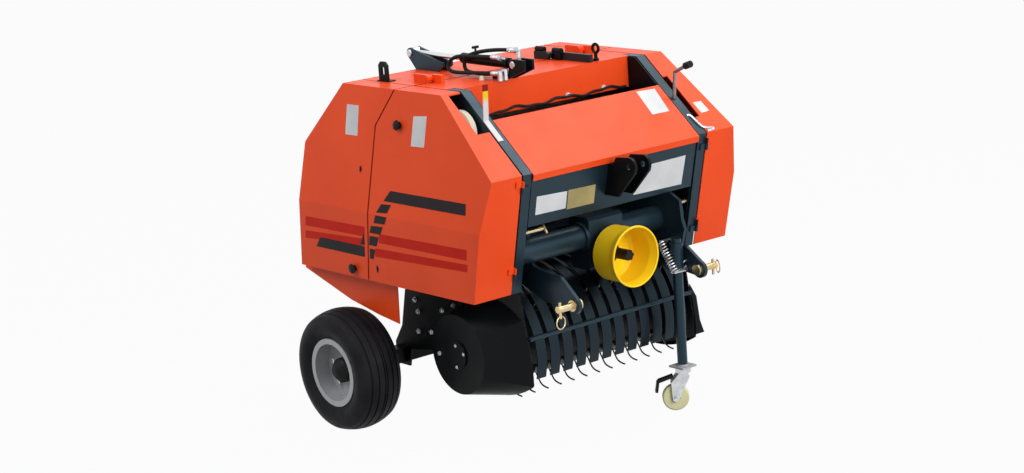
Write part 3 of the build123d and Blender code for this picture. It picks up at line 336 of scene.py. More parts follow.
# Side plates, axle, pickup drums, pan and wing, cylinder, lifting points and top link ears: the same steel in
# a blacker paint, a little rougher, with bright steel where it is rubbed.
BLACK = (0.005, 0.006, 0.007)
BLACK_DEEP = (0.003, 0.0035, 0.004)
black_enamel = enamel("black_enamel", BLACK, BLACK_DEEP, BARE_STEEL, (0.30, 0.44), 0.10, 0.10)
finish_nodes(
    [
        "side_plate_left", "side_plate_right", "axle", "pickup_drum_left", "pickup_drum_right",
        "pickup_pan", "crop_wing", "cylinder_barrel", "cylinder_bracket", "lifting_ring",
        "gate_lifting_eye", "top_link_ears",
    ],
    black_enamel,
)

# Bare and plated metal: zinc with a yellow passivated film on the pins, bright zinc on the caster's fork,
# drawn steel on the rollers and the tying lever, and hard chrome on the cylinder's rod.


def plated(name, colour, tint, roughness, grain=0.03, stretch=(1, 1, 1)):
    """Metal with a slightly uneven film, and the fine grain that its making leaves."""
    metal = bpy.data.materials.new(name)
    metal.use_nodes = True
    tree = metal.node_tree
    shader = tree.nodes["Principled BSDF"]
    shader.inputs["Metallic"].default_value = 1.0
    film = between(tree, mottle(tree, 60.0, 4.0), 0.35, 0.65)
    tree.links.new(mix_colour(tree, film, colour, tint), shader.inputs["Base Color"])
    tree.links.new(between(tree, mottle(tree, 140.0), 0.3, 0.7, *roughness), shader.inputs["Roughness"])
    marks = mottle(tree, 900.0, 2.0, stretch)
    skin = shade_step(tree, "ShaderNodeBump", Strength=grain, Distance=0.0004, Height=marks)
    tree.links.new(skin.outputs[0], shader.inputs["Normal"])
    return metal


gold_zinc = plated("gold_zinc", (0.72, 0.55, 0.26), (0.60, 0.50, 0.34), (0.26, 0.40))
bright_zinc = plated("bright_zinc", (0.66, 0.67, 0.68), (0.52, 0.54, 0.57), (0.24, 0.40), 0.08)
drawn_steel = plated("drawn_steel", (0.30, 0.30, 0.31), (0.18, 0.17, 0.17), (0.30, 0.48), 0.10, (1, 0.02, 1))
hard_chrome = plated("hard_chrome", (0.80, 0.81, 0.83), (0.74, 0.75, 0.78), (0.05, 0.10), 0.01)
finish_nodes(["hitch_pin_left", "hitch_pin_right"], gold_zinc)
finish_nodes(["caster_fork"], bright_zinc)
finish_nodes(["frame_rollers", "gate_rollers", "tying_lever"], drawn_steel)
finish_nodes(["cylinder_rod"], hard_chrome)

# Power take-off: a black oiled spline stub inside a moulded yellow plastic cone, whose rim is rolled into a
# bead and whose face has the faint mottle of moulded polyethylene.
GUARD_AXIS_Z = 570.0
# x and radius of the cone's rim
GUARD_RIM = (550.0, 95.0)
RIM_BEAD = 3.6
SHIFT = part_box("pto_guard")[1].x - GUARD_RIM[0] / 1000


def place(x, y, z):
    """A point given in drawing millimetres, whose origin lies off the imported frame's by SHIFT along X."""
    return Vector((x / 1000 + SHIFT, y / 1000, z / 1000))


def moulded(name, colour, deep, roughness, grain_scale=300.0, grain=0.08, soft=0.0, shine=0.08):
    """Plastic or rubber: an even body colour, a fine moulded grain, and patches of another shine."""
    plastic = bpy.data.materials.new(name)
    plastic.use_nodes = True
    tree = plastic.node_tree
    shader = tree.nodes["Principled BSDF"]
    clouds = between(tree, mottle(tree, 11.0, 3.0), 0.35, 0.65)
    tree.links.new(mix_colour(tree, clouds, colour, deep), shader.inputs["Base Color"])
    tree.links.new(between(tree, mottle(tree, 38.0), 0.3, 0.7, *roughness), shader.inputs["Roughness"])
    grain_mark = mottle(tree, grain_scale, 3.0)
    skin = shade_step(tree, "ShaderNodeBump", Strength=grain, Distance=0.0005, Height=grain_mark)
    tree.links.new(skin.outputs[0], shader.inputs["Normal"])
    shader.inputs["Specular IOR Level"].default_value = shine
    shader.inputs["Subsurface Weight"].default_value = soft
    shader.inputs["Subsurface Radius"].default_value = (0.004, 0.003, 0.001)
    shader.inputs["Subsurface Scale"].default_value = 1.0
    return plastic


def finish_piece(name, mesh, material, body, crease=0.6):
    """Close a bmesh into a named piece with its place in its mesh, which rides on a body if one is named."""
    bmesh.ops.remove_doubles(mesh, verts=mesh.verts, dist=1e-6)
    bmesh.ops.recalc_face_normals(mesh, faces=mesh.faces)
    for face in mesh.faces:
        face.smooth = True
    for edge in mesh.edges:
        edge.smooth = edge.calc_face_angle(3.0) < crease
    data = bpy.data.meshes.new(name)
    mesh.to_mesh(data)
    mesh.free()
    piece = bpy.data.objects.new(name, data)
    piece.data.materials.append(material)
    bpy.context.scene.collection.objects.link(piece)
    if body:
        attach(piece, body)
    return piece


def add_ring(mesh, centre, axis, radius, thickness, sides, round_sides=12):
    """A closed ring of round section about an axis."""
    frame_of_ring = Matrix.Translation(centre) @ axis.to_track_quat("Z", "Y").to_matrix().to_4x4()
    section = bmesh.ops.create_circle(
        mesh, segments=round_sides, radius=thickness,
        matrix=frame_of_ring @ Matrix.Translation((radius, 0, 0)) @ Matrix.Rotation(math.pi / 2, 4, "X"),
    )["verts"]
    edges = list({edge for vert in section for edge in vert.link_edges})
    bmesh.ops.spin(
        mesh, geom=section + edges, cent=centre, axis=axis, angle=2 * math.pi, steps=sides,
        use_merge=True, use_duplicate=False,
    )


guard_yellow = moulded(
    "guard_yellow", (1.0, 0.68, 0.010), (0.98, 0.63, 0.008), (0.30, 0.42), 160.0, 0.05, shine=0.4
)
finish_nodes(["pto_guard"], guard_yellow)
oiled_black = moulded("oiled_black", (0.012, 0.011, 0.010), (0.022, 0.018, 0.015), (0.22, 0.38), 220.0, 0.10)
finish_nodes(["pto_shaft"], oiled_black)
rim_bead = bmesh.new()
add_ring(rim_bead, place(GUARD_RIM[0] - RIM_BEAD, 0, GUARD_AXIS_Z), Vector((1, 0, 0)), GUARD_RIM[1] / 1000,
         RIM_BEAD / 1000, 96)
finish_piece("guard_rim_bead", rim_bead, guard_yellow, "frame")

# Road wheels: pneumatic ribbed implement tyres on pressed silver rims. The rubber is dusty black, straight
# grooves run round its tread, and its sidewalls carry fine moulded rings.
SIDES = ((1, "left"), (-1, "right"))
WHEEL_CENTRE = (-244.0, 575.0, 203.0)
TYRE_HALF, TYRE_RADIUS = 82.0, 203.0
BEAD_HALF, BEAD_RADIUS, SEAT_RADIUS = 65.0, 114.0, 101.0
SHOULDER_HALF, SHOULDER_DROP = 70.0, 16.0
SHOULDER_OUT, SHOULDER_FALL, TREAD_EDGE_HALF = 1.0, 2.0, 66.0
WALL_STEPS, WALL_RING, WALL_SLACK = 9, 0.9, 2.5
GROOVE_DEPTH, GROOVE_FLARE = 4.5, 1.2
TYRE_SIDES = 120
# half widths across the tread where each groove starts and ends
GROOVES = [(55.0, 49.0), (31.0, 25.0), (7.0, 1.5)]
CROWN = (SHOULDER_HALF**2 + SHOULDER_DROP**2) / (2 * SHOULDER_DROP)


def crown_radius(half):
    """Radius of the tread at a distance from the tyre's middle."""
    return TYRE_RADIUS - CROWN + math.sqrt(CROWN**2 - half**2)


def tyre_half_profile():
    """(half width, radius) points from the bead, up the sidewall and across the ribs to the middle."""
    points = [(BEAD_HALF, SEAT_RADIUS), (BEAD_HALF, BEAD_RADIUS)]
    for step in range(1, WALL_STEPS):
        rise = step / WALL_STEPS
        bulge = (TYRE_HALF - BEAD_HALF - WALL_SLACK) * math.sin(math.pi * rise)
        ring = WALL_RING if step % 2 else 0.0
        half = BEAD_HALF + (SHOULDER_HALF - BEAD_HALF) * rise + bulge - ring
        points.append((half, BEAD_RADIUS + (TYRE_RADIUS - SHOULDER_DROP - BEAD_RADIUS) * rise))
    points.append((SHOULDER_HALF + SHOULDER_OUT, crown_radius(SHOULDER_HALF) - SHOULDER_FALL))
    points.append((TREAD_EDGE_HALF, crown_radius(TREAD_EDGE_HALF)))
    for start, end in GROOVES:
        points.append((start, crown_radius(start)))
        points.append((start - GROOVE_FLARE, crown_radius(start) - GROOVE_DEPTH))
        points.append((end + GROOVE_FLARE, crown_radius(end) - GROOVE_DEPTH))
        points.append((end, crown_radius(end)))
    return points


tyre_rubber = moulded("tyre_rubber", (0.009, 0.009, 0.011), (0.016, 0.016, 0.019), (0.48, 0.62), 420.0, 0.15)
silver_rim = enamel(
    "silver_rim", (0.40, 0.41, 0.43), (0.32, 0.33, 0.35), (0.12, 0.10, 0.09), (0.22, 0.34), 0.06, 0.7
)
finish_nodes(["rim_left", "rim_right"], silver_rim)
for side, side_name in SIDES:
    tyre = bmesh.new()
    half_profile = tyre_half_profile()
    outline = half_profile + [(-half, radius) for half, radius in reversed(half_profile)]
    middle = place(WHEEL_CENTRE[0], side * WHEEL_CENTRE[1], WHEEL_CENTRE[2])
    ring = [tyre.verts.new(middle + Vector((0, half / 1000, radius / 1000))) for half, radius in outline]
    edges = [tyre.edges.new((ring[i - 1], ring[i])) for i in range(len(ring))]
    bmesh.ops.spin(
        tyre, geom=ring + edges, cent=middle, axis=(0, 1, 0), angle=2 * math.pi, steps=TYRE_SIDES,
        use_merge=True, use_duplicate=False,
    )
    tread = finish_piece(f"treaded_tyre_{side_name}", tyre, tyre_rubber, f"wheel_{side_name}", 0.5)
    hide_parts(f"tyre_{side_name}")

# Decals and blank plates: cut vinyl and blank sheet, pressed flat on the covers' outer faces, on the hood and
# on the cross plate. Each stands 0.4 to 0.8 mm proud, and its back is let into the paint.
# half width and height of the fold in the covers' sides, and how they lean inwards above and below it
COVER_BEND = (547.0, 735.0)
COVER_LEAN_ABOVE, COVER_LEAN_BELOW = 78.0 / 396.0, 4.0 / 225.0
# x and height of the front edge, and the slopes of the hood above it and of the cross plate below it
FRONT_EDGE = (493.0, 895.0)
SLOPE_RISE = 236.0 / 275.0
FRONT_LEAN = 92.0 / 385.0
CROSS_PLATE_BACK = 3.1
VINYL_BACK, VINYL_FRONT = 1.2, 0.5
# colour and corners as (x, z), for the rear cover and for the front one
REAR_STRIPES = [
    ("red", [(-461, 683), (-131.7, 688), (-137, 655), (-467, 651)]),
    ("red", [(-470, 633.5), (-138.5, 647), (-142, 623), (-475, 608)]),
    ("black", [(-387, 621), (-143, 621), (-146, 586), (-415, 586)]),
    ("black", [(-139.5, 667), (-164.5, 627), (-139.5, 629)]),
]
FRONT_STRIPES = [
    ("red", [(-57, 674), (387, 681), (382.5, 647), (-62, 643.5)]),
    ("red", [(-84, 623), (385, 634), (381, 610), (-89, 595)]),
    ("black", [(2, 818), (380, 820), (383, 785), (-28.5, 783)]),
    ("black", [(-40, 772), (11, 775), (-7, 747), (-63, 743)]),
    ("black", [(-67, 734), (-8, 734), (-23, 709), (-80, 707)]),
    ("black", [(-95, 696), (-34, 699), (-50, 672), (-108, 672)]),
    ("black", [(-109, 661), (-60.5, 662), (-77, 630), (-117, 630)]),
    ("black", [(-115, 618.5), (-85, 618), (-100, 585), (-119, 585)]),
]
REAR_LABEL = [(-260.5, 1066), (-197, 1067), (-192.5, 971), (-258, 971)]
FRONT_LABEL = [(91.5, 1057), (158, 1063), (156, 967), (90, 965)]
# corners as (x, y) on the slope of the hood and of the left front cover
HOOD_LABEL = [(326, 247), (329, 326), (404.5, 314.5), (404.5, 240)]
LEFT_SLOPE_LABEL = [(395, 431), (396, 467), (430, 470), (432, 433)]
# colour and corners as (y, z) on the cross plate
CROSS_LABELS = [
    ("pale", [(-324, 815), (-199, 809), (-199, 753), (-324, 755)]),
    ("brass", [(-194, 811), (-80, 808), (-80, 747), (-194, 748)]),
    ("pale", [(91.5, 830), (309, 833), (305, 736), (91.5, 740)]),
]


def cover_point(side, x, z):
    """A point on the outer face of a cover, on the left with a side of 1 and on the right with -1."""
    lean = COVER_LEAN_ABOVE if z > COVER_BEND[1] else COVER_LEAN_BELOW
    return x, side * (COVER_BEND[0] - abs(z - COVER_BEND[1]) * lean), z


def cover_facing(side, z):
    """The way that the outer face of a cover looks at a height."""
    return Vector((0, side, COVER_LEAN_ABOVE if z > COVER_BEND[1] else -COVER_LEAN_BELOW)).normalized()


def slope_point(x, y):
    """A point on the sloping face of the hood and of the front covers."""
    return x, y, FRONT_EDGE[1] + (FRONT_EDGE[0] - x) * SLOPE_RISE


def add_sheet(mesh, corners, outwards, back=VINYL_BACK, front=VINYL_FRONT):
    """A flat sheet between these corners, let into the face under it and standing off it."""
    outwards = outwards.normalized()
    low = [mesh.verts.new(place(*corner) - outwards * back / 1000) for corner in corners]
    grown = bmesh.ops.extrude_face_region(mesh, geom=[mesh.faces.new(low)])["geom"]
    top = [item for item in grown if isinstance(item, bmesh.types.BMVert)]
    bmesh.ops.translate(mesh, verts=top, vec=outwards * (back + front) / 1000)


vinyl = {
    "red": moulded("red_vinyl", (0.60, 0.016, 0.005), (0.54, 0.013, 0.004), (0.30, 0.42), 500.0, 0.03),
    "black": moulded("black_vinyl", (0.022, 0.016, 0.018), (0.017, 0.013, 0.014), (0.34, 0.46), 500.0, 0.03),
    "pale": moulded("pale_label", (0.66, 0.67, 0.68), (0.58, 0.59, 0.61), (0.34, 0.46), 500.0, 0.03),
    "brass": moulded("brass_label", (0.42, 0.34, 0.14), (0.32, 0.27, 0.12), (0.30, 0.42), 500.0, 0.03),
}
# how far each colour stands off the paint
STACK = {"red": 0.4, "black": 0.8, "pale": 0.6}
DRESSING = (("rear", REAR_STRIPES, REAR_LABEL), ("front", FRONT_STRIPES, FRONT_LABEL))
for side, side_name in SIDES:
    for cover, stripes, label in DRESSING:
        for colour in ("red", "black", "pale"):
            decal = bmesh.new()
            for stripe_colour, corners in stripes + [("pale", label)]:
                if stripe_colour == colour:
                    points = [cover_point(side, x, z) for x, z in corners]
                    add_sheet(decal, points, cover_facing(side, corners[0][1]), front=STACK[colour])
            name = f"{cover}_{colour}_decals_{side_name}"
            finish_piece(name, decal, vinyl[colour], f"{cover}_door_{side_name}")

slope_normal = Vector((SLOPE_RISE, 0, 1))
for name, corners, body in (
    ("hood_label", HOOD_LABEL, "frame"), ("left_slope_label", LEFT_SLOPE_LABEL, "front_door_left"),
):
    label = bmesh.new()
    add_sheet(label, [slope_point(*corner) for corner in corners], slope_normal)
    finish_piece(name, label, vinyl["pale"], body)
for number, (colour, corners) in enumerate(CROSS_LABELS):
    label = bmesh.new()
    points = [(FRONT_EDGE[0] - (FRONT_EDGE[1] - z) * FRONT_LEAN - CROSS_PLATE_BACK, y, z) for y, z in corners]
    add_sheet(label, points, Vector((1, 0, -FRONT_LEAN)))
    finish_piece(f"cross_plate_label_{number + 1}", label, vinyl[colour], "frame")

# Latch knobs and keyholes: a ribbed black knob on each cover, and a slit in a small black lock barrel. Both
# stand square to the face that carries them.
KNOBS = [("front", 22.0, 1023.0), ("rear", -209.5, 540.0)]
KEYHOLES = [("front", -83.0, 555.0), ("rear", -162.0, 868.0)]
# (along, radius) pairs from the seat outwards
KNOB_LINE = [(-2, 0), (-2, 11), (2, 11), (3, 8), (9, 8), (9, 13), (11, 15), (15, 14), (18, 8), (18, 0)]
BARREL_LINE = [(-1, 0), (-1, 6.5), (1.2, 5.9), (1.2, 0)]
KNOB_LOBES, LOBE_CIRCLE_R, LOBE_ALONG = 8, 14.0, 12.5
LOBE_SIZE, LOBE_ROUND = (5.0, 5.0, 6.0), 1.4
SLIT_HALF_WIDE, SLIT_HALF_HIGH, SLIT_BACK, SLIT_FRONT = 1.6, 11.0, 1.0, 2.6
RECTANGLE = ((-1, -1), (1, -1), (1, 1), (-1, 1))


def aim_along(centre, axis):
    """The placing that turns Z along an axis through a point."""
    return Matrix.Translation(centre) @ axis.to_track_quat("Z", "Y").to_matrix().to_4x4()


def add_turned(mesh, centre, axis, profile, sides=32):
    """A turned shape from (along, radius) pairs in millimetres, closed at both ends on its axis."""
    seat = aim_along(centre, axis.normalized())
    line = [mesh.verts.new(seat @ Vector((radius / 1000, 0, along / 1000))) for along, radius in profile]
    edges = [mesh.edges.new(pair) for pair in zip(line, line[1:])]
    bmesh.ops.spin(
        mesh, geom=line + edges, cent=centre, axis=axis.normalized(), angle=2 * math.pi, steps=sides,
        use_merge=True, use_duplicate=False,
    )


def add_block(mesh, seat, size, bevel):
    """A block with its middle at the seat's origin, its edges rounded off."""
    sizes = Matrix.Diagonal((size[0] / 1000, size[1] / 1000, size[2] / 1000, 1))
    corners = bmesh.ops.create_cube(mesh, size=1, matrix=seat @ sizes)["verts"]
    edges = list({edge for corner in corners for edge in corner.link_edges})
    bmesh.ops.bevel(
        mesh, geom=edges, affect="EDGES", offset=bevel / 1000, segments=2, profile=0.5, material=-1
    )


knob_plastic = moulded(
    "knob_plastic", (0.012, 0.012, 0.013), (0.022, 0.022, 0.023), (0.34, 0.50), 260.0, 0.12
)
for side, side_name in SIDES:
    for cover, x, z in KNOBS:
        foot = place(*cover_point(side, x, z))
        outwards = cover_facing(side, z)
        knob = bmesh.new()
        add_turned(knob, foot, outwards, KNOB_LINE)
        for lobe in range(KNOB_LOBES):
            turn = 2 * math.pi * lobe / KNOB_LOBES
            spot = Vector((math.cos(turn) * LOBE_CIRCLE_R, math.sin(turn) * LOBE_CIRCLE_R, LOBE_ALONG)) / 1000
            seat = aim_along(foot, outwards) @ Matrix.Translation(spot) @ Matrix.Rotation(turn, 4, "Z")
            add_block(knob, seat, LOBE_SIZE, LOBE_ROUND)
        door = f"{cover}_door_{side_name}"
        finish_piece(f"{cover}_knob_{side_name}", knob, knob_plastic, door)
    for cover, x, z in KEYHOLES:
        foot = place(*cover_point(side, x, z))
        outwards = cover_facing(side, z)
        barrel = bmesh.new()
        add_turned(barrel, foot, outwards, BARREL_LINE)
        door = f"{cover}_door_{side_name}"
        finish_piece(f"{cover}_lock_{side_name}", barrel, knob_plastic, door)
        slit = bmesh.new()
        corners = [
            (x + across * SLIT_HALF_WIDE, foot.y * 1000, z + rise * SLIT_HALF_HIGH)
            for across, rise in RECTANGLE
        ]
        add_sheet(slit, corners, outwards, SLIT_BACK, SLIT_FRONT)
        finish_piece(f"{cover}_keyhole_{side_name}", slit, oiled_black, door)

# Twine spool: a ball of pale baler twine on a peg at the wall of the twine box, wound crosswise so that its
# face shows a lozenge of raised strands.
SPOOL_CENTRE = (236.0, -414.5, 1010.0)
SPOOL_R, SPOOL_HALF, SPOOL_CORE_R = 70.0, 17.5, 16.0
TWINE_R = 1.4
SPOOL_TURNS, STRAND_STEPS, STRAND_SINK = 11, 24, 9.0
# (along, radius) pairs of the ball under its strands
SPOOL_LINE = [(-16, 0), (-16, SPOOL_CORE_R), (-16.5, 60), (-9.5, 68), (9.5, 68), (16.5, 60), (16.5, 0)]


def add_wire(mesh, points, radius, closed=False, sides=4):
    """A round wire along a smooth curve through its control points, given in metres."""
    curve = bpy.data.curves.new("wire", "CURVE")
    curve.dimensions = "3D"
    curve.bevel_depth = radius / 1000
    curve.bevel_resolution = sides
    curve.use_fill_caps = True
    spline = curve.splines.new("NURBS")
    spline.points.add(len(points) - 1)
    for control, point in zip(spline.points, points):
        control.co = (*point, 1)
    spline.order_u = 3
    spline.use_endpoint_u = not closed
    spline.resolution_u = 6
    spline.use_cyclic_u = closed
    holder = bpy.data.objects.new("wire", curve)
    swept = bpy.data.meshes.new_from_object(holder)
    mesh.from_mesh(swept)
    for leftover, store in ((holder, bpy.data.objects), (curve, bpy.data.curves), (swept, bpy.data.meshes)):
        store.remove(leftover)


pale_twine = moulded("pale_twine", (0.72, 0.68, 0.56), (0.60, 0.55, 0.42), (0.70, 0.85), 700.0, 0.5)
spool = bmesh.new()
spool_middle = place(*SPOOL_CENTRE)
add_turned(spool, spool_middle, Vector((0, 1, 0)), SPOOL_LINE, 48)
for turn in range(SPOOL_TURNS):
    lean = 2 * math.pi * turn / SPOOL_TURNS
    strand = []
    for step in range(STRAND_STEPS):
        angle = 2 * math.pi * step / STRAND_STEPS
        swing = math.cos(2 * (angle - lean))
        radius = (SPOOL_R - 1.0 - STRAND_SINK * abs(swing)) / 1000
        across = (SPOOL_HALF - 2.0) * swing / 1000
        strand.append(spool_middle + Vector((math.cos(angle) * radius, across, math.sin(angle) * radius)))
    add_wire(spool, strand, TWINE_R, True, 2)
wound = finish_piece("wound_twine_spool", spool, pale_twine, "frame")
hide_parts("twine_spool")

# Wheel fastenings: five zinc lug nuts on each wheel's disc, round a black hub cap that is pressed into the
# disc's hole.
LUG_CIRCLE_R, LUG_COUNT, LUG_ACROSS, LUG_HIGH = 63.5, 5, 19.0, 13.0
DISC_FACE_Y = 588.0
HUB_CAP = [(-4, 0), (-4, 42), (0, 42), (24, 41), (28, 37), (44, 20), (48, 0)]


def add_bolt(mesh, foot, axis, across, height):
    """A washer and a chamfered hexagon head, on the face at its foot."""
    add_turned(mesh, foot, axis, [(-1, 0), (-1, across * 0.72), (1.4, across * 0.70), (1.4, 0)], 20)
    radius = across / math.sqrt(3)
    head = [(1, 0), (1, radius), (height - 1.5, radius), (height, radius * 0.8), (height, 0)]
    add_turned(mesh, foot, axis, head, 6)


for side, side_name in SIDES:
    outwards = Vector((0, side, 0))
    nuts = bmesh.new()
    for lug in range(LUG_COUNT):
        turn = 2 * math.pi * lug / LUG_COUNT
        x = WHEEL_CENTRE[0] + LUG_CIRCLE_R * math.sin(turn)
        z = WHEEL_CENTRE[2] + LUG_CIRCLE_R * math.cos(turn)
        add_bolt(nuts, place(x, side * DISC_FACE_Y, z), outwards, LUG_ACROSS, LUG_HIGH)
    finish_piece(f"lug_nuts_{side_name}", nuts, bright_zinc, f"wheel_{side_name}")
    cap = bmesh.new()
    add_turned(cap, place(WHEEL_CENTRE[0], side * DISC_FACE_Y, WHEEL_CENTRE[2]), outwards, HUB_CAP, 40)
    finish_piece(f"hub_cap_{side_name}", cap, knob_plastic, f"wheel_{side_name}")

# Hitch fastenings: yellow zinc linch pins with spring rings through the two lower pins, T-handled lock pins
# in the uprights, the left arm's coil spring with a clip at its foot, and a hook on the left upright.
PIN_Z = 477.0
# place of each linch pin, its ring's place as (x, z) and the ring's axis
LINCH_PINS = [((566, -342), (566, 435), (1, 0.15, 0)), ((566, 318), (588, 478), (0.5, 1, 0))]
LINCH_BELOW, LINCH_ABOVE = 30, 22
LINCH_SHANK_R, LINCH_RING_R, LINCH_WIRE_R = 4.5, 20.0, 2.2
# outer y, inner y, x and z of each lock pin, then the ends of its handle as (x, z) from there
LOCK_PINS = [(-356, -262, 418, 697), (356, 262, 420, 668)]
LOCK_HANDLE = ((16, -14), (-6, 16))
LOCK_PIN_R, LOCK_HANDLE_R = 6.5, 5.0
SPRING_ENDS = ((453.0, 200.0, 564.0), (511.0, 200.0, 472.0))
SPRING_R, SPRING_WIRE_R, SPRING_TURNS, SPRING_STEPS = 13.0, 2.5, 11, 12
SPRING_PEG_R, LEFT_ARM_Y = 6.0, 254.0
CLIP_R, HOOK_R = 2.4, 4.5
CLIP = [
    (506, 208, 470), (506, 236, 474), (508, 262, 484), (508, 268, 497), (508, 256, 503), (508, 240, 494),
    (508, 226, 488),
]
HOOK = [
    (428, 370, 949), (432, 378, 950), (455, 382, 932), (476, 387, 913), (483, 410, 906), (484, 432, 904),
    (489, 427, 898), (489, 398, 899),
]


def add_rod(mesh, start, end, radius, sides=20):
    """A round bar with chamfered ends between two drawing points."""
    foot, tip = place(*start), place(*end)
    length = (tip - foot).length * 1000
    chamfer = radius * 0.25
    add_turned(mesh, foot, tip - foot, [
        (0, 0), (0, radius - chamfer), (chamfer, radius), (length - chamfer, radius),
        (length, radius - chamfer), (length, 0),
    ], sides)


linch = bmesh.new()
for (x, y), (ring_x, ring_z), lean in LINCH_PINS:
    add_rod(linch, (x, y, PIN_Z - LINCH_BELOW), (x, y, PIN_Z + LINCH_ABOVE), LINCH_SHANK_R)
    add_ring(linch, place(ring_x, y, ring_z), Vector(lean), LINCH_RING_R / 1000, LINCH_WIRE_R / 1000, 32, 8)
for outer_y, inner_y, x, z in LOCK_PINS:
    add_rod(linch, (x, outer_y, z), (x, inner_y, z), LOCK_PIN_R)
    low_end, high_end = ((x + ahead, inner_y, z + rise) for ahead, rise in LOCK_HANDLE)
    add_rod(linch, low_end, high_end, LOCK_HANDLE_R)
finish_piece("linch_and_lock_pins", linch, gold_zinc, "frame")

spring = bmesh.new()
spring_start, spring_end = (place(*end) for end in SPRING_ENDS)
coil_seat = aim_along(spring_start, (spring_end - spring_start).normalized())
coil_length = (spring_end - spring_start).length
coil = []
for step in range(SPRING_TURNS * SPRING_STEPS + 1):
    turn = 2 * math.pi * step / SPRING_STEPS
    along = coil_length * step / (SPRING_TURNS * SPRING_STEPS)
    spot = Vector((math.cos(turn) * SPRING_R / 1000, math.sin(turn) * SPRING_R / 1000, along))
    coil.append(coil_seat @ spot)
add_wire(spring, [spring_start] + coil + [spring_end], SPRING_WIRE_R, sides=1)
for x, y, z in SPRING_ENDS:
    add_rod(spring, (x, y - 5, z), (x, LEFT_ARM_Y, z), SPRING_PEG_R)
add_wire(spring, [place(*point) for point in CLIP], CLIP_R, sides=2)
add_wire(spring, [place(*point) for point in HOOK], HOOK_R, sides=3)
finish_piece("arm_spring_clip_and_hook", spring, bright_zinc, "frame")

# Bolt heads: zinc hexagon heads with washers on the side plates, the covers of the pickup drums and the
# inner wall.
SIDE_PLATE_Y, DRUM_FACE_Y, INNER_WALL_FRONT_X = 356.0, 446.0, 181.5
# places as (x, z) on each side plate and drum cover
SIDE_BOLTS = [(-148, 402), (-136, 364), (-7, 388), (55, 413), (-142, 295), (-73, 304)]
DRUM_BOLTS = [(172, 320), (210, 298), (171, 249.5), (81, 279)]
# places as (y, z) on the inner wall, and the sizes of all three kinds as (across flats, height)
WALL_BOLTS = [(77, 1043), (235, 1043)]
SIDE_HEAD, DRUM_HEAD, WALL_HEAD = (13.0, 8.0), (11.0, 7.0), (13.0, 7.0)
bolts = bmesh.new()
for side in (1, -1):
    for x, z in SIDE_BOLTS:
        add_bolt(bolts, place(x, side * SIDE_PLATE_Y, z), Vector((0, side, 0)), *SIDE_HEAD)
    for x, z in DRUM_BOLTS:
        add_bolt(bolts, place(x, side * DRUM_FACE_Y, z), Vector((0, side, 0)), *DRUM_HEAD)
for y, z in WALL_BOLTS:
    add_bolt(bolts, place(INNER_WALL_FRONT_X, y, z), Vector((1, 0, 0)), *WALL_HEAD)
finish_piece("bolt_heads", bolts, bright_zinc, "frame")

# Net indicator and tying lever: a painted strip that stands on the right upright's slope, red at its tip and
# yellow under it, and the lever's moulded black grip.
STRIP_Y = (-390.0, -370.0)
STRIP_LINE = [(328, 1159), (320, 1046), (386, 989)]
STRIP_THICK = 2.5
# heights in metres where the red and the yellow start, and how far each takes to fade in
STRIP_RED_Z, STRIP_PALE_Z, RED_FADE, YELLOW_FADE = 1.138, 1.100, 0.001, 0.02
STRIP_RED, STRIP_YELLOW, STRIP_BARE = (0.22, 0.015, 0.010), (0.75, 0.52, 0.02), (0.60, 0.61, 0.62)
GRIP_START, GRIP_END, GRIP_R = (426.0, 373.0, 1110.0), (457.0, 373.0, 1120.4), 11.6
strip_paint = moulded("strip_paint", (0.62, 0.63, 0.64), (0.52, 0.53, 0.55), (0.34, 0.46), 300.0, 0.05)
strip_tree = strip_paint.node_tree
strip_shader = strip_tree.nodes["Principled BSDF"]
height = shade_step(strip_tree, "ShaderNodeSeparateXYZ", Vector=own_place(strip_tree)).outputs["Z"]
yellow_share = between(strip_tree, height, STRIP_PALE_Z, STRIP_PALE_Z + YELLOW_FADE)
lower_tone = mix_colour(strip_tree, yellow_share, STRIP_BARE, STRIP_YELLOW)
red_share = between(strip_tree, height, STRIP_RED_Z, STRIP_RED_Z + RED_FADE)
strip_tone = mix_colour(strip_tree, red_share, lower_tone, STRIP_RED)
strip_tree.links.new(strip_tone, strip_shader.inputs["Base Color"])
strip = bmesh.new()
for start, end in zip(STRIP_LINE, STRIP_LINE[1:]):
    along = Vector((end[0] - start[0], 0, end[1] - start[1])).normalized()
    outwards = Vector((-along.z, 0, along.x))
    corners = [
        (start[0], STRIP_Y[0], start[1]), (start[0], STRIP_Y[1], start[1]),
        (end[0], STRIP_Y[1], end[1]), (end[0], STRIP_Y[0], end[1]),
    ]
    add_sheet(strip, corners, outwards, STRIP_THICK / 2, STRIP_THICK / 2)
finish_piece("net_indicator", strip, strip_paint, "frame")
grip = bmesh.new()
add_rod(grip, GRIP_START, GRIP_END, GRIP_R, 24)
finish_piece("lever_grip", grip, knob_plastic, "frame")

# Hydraulic hoses: two black rubber hoses with crimped zinc ferrules run back over the top panel from the
# cylinder's ports, turn under themselves, and end at unions on the panel. The upper half of each rides on the
# cylinder, and the lower half rides on no body.
HOSE_R, FERRULE_R = 6.3, 8.6
PANEL_Z = 1131.0
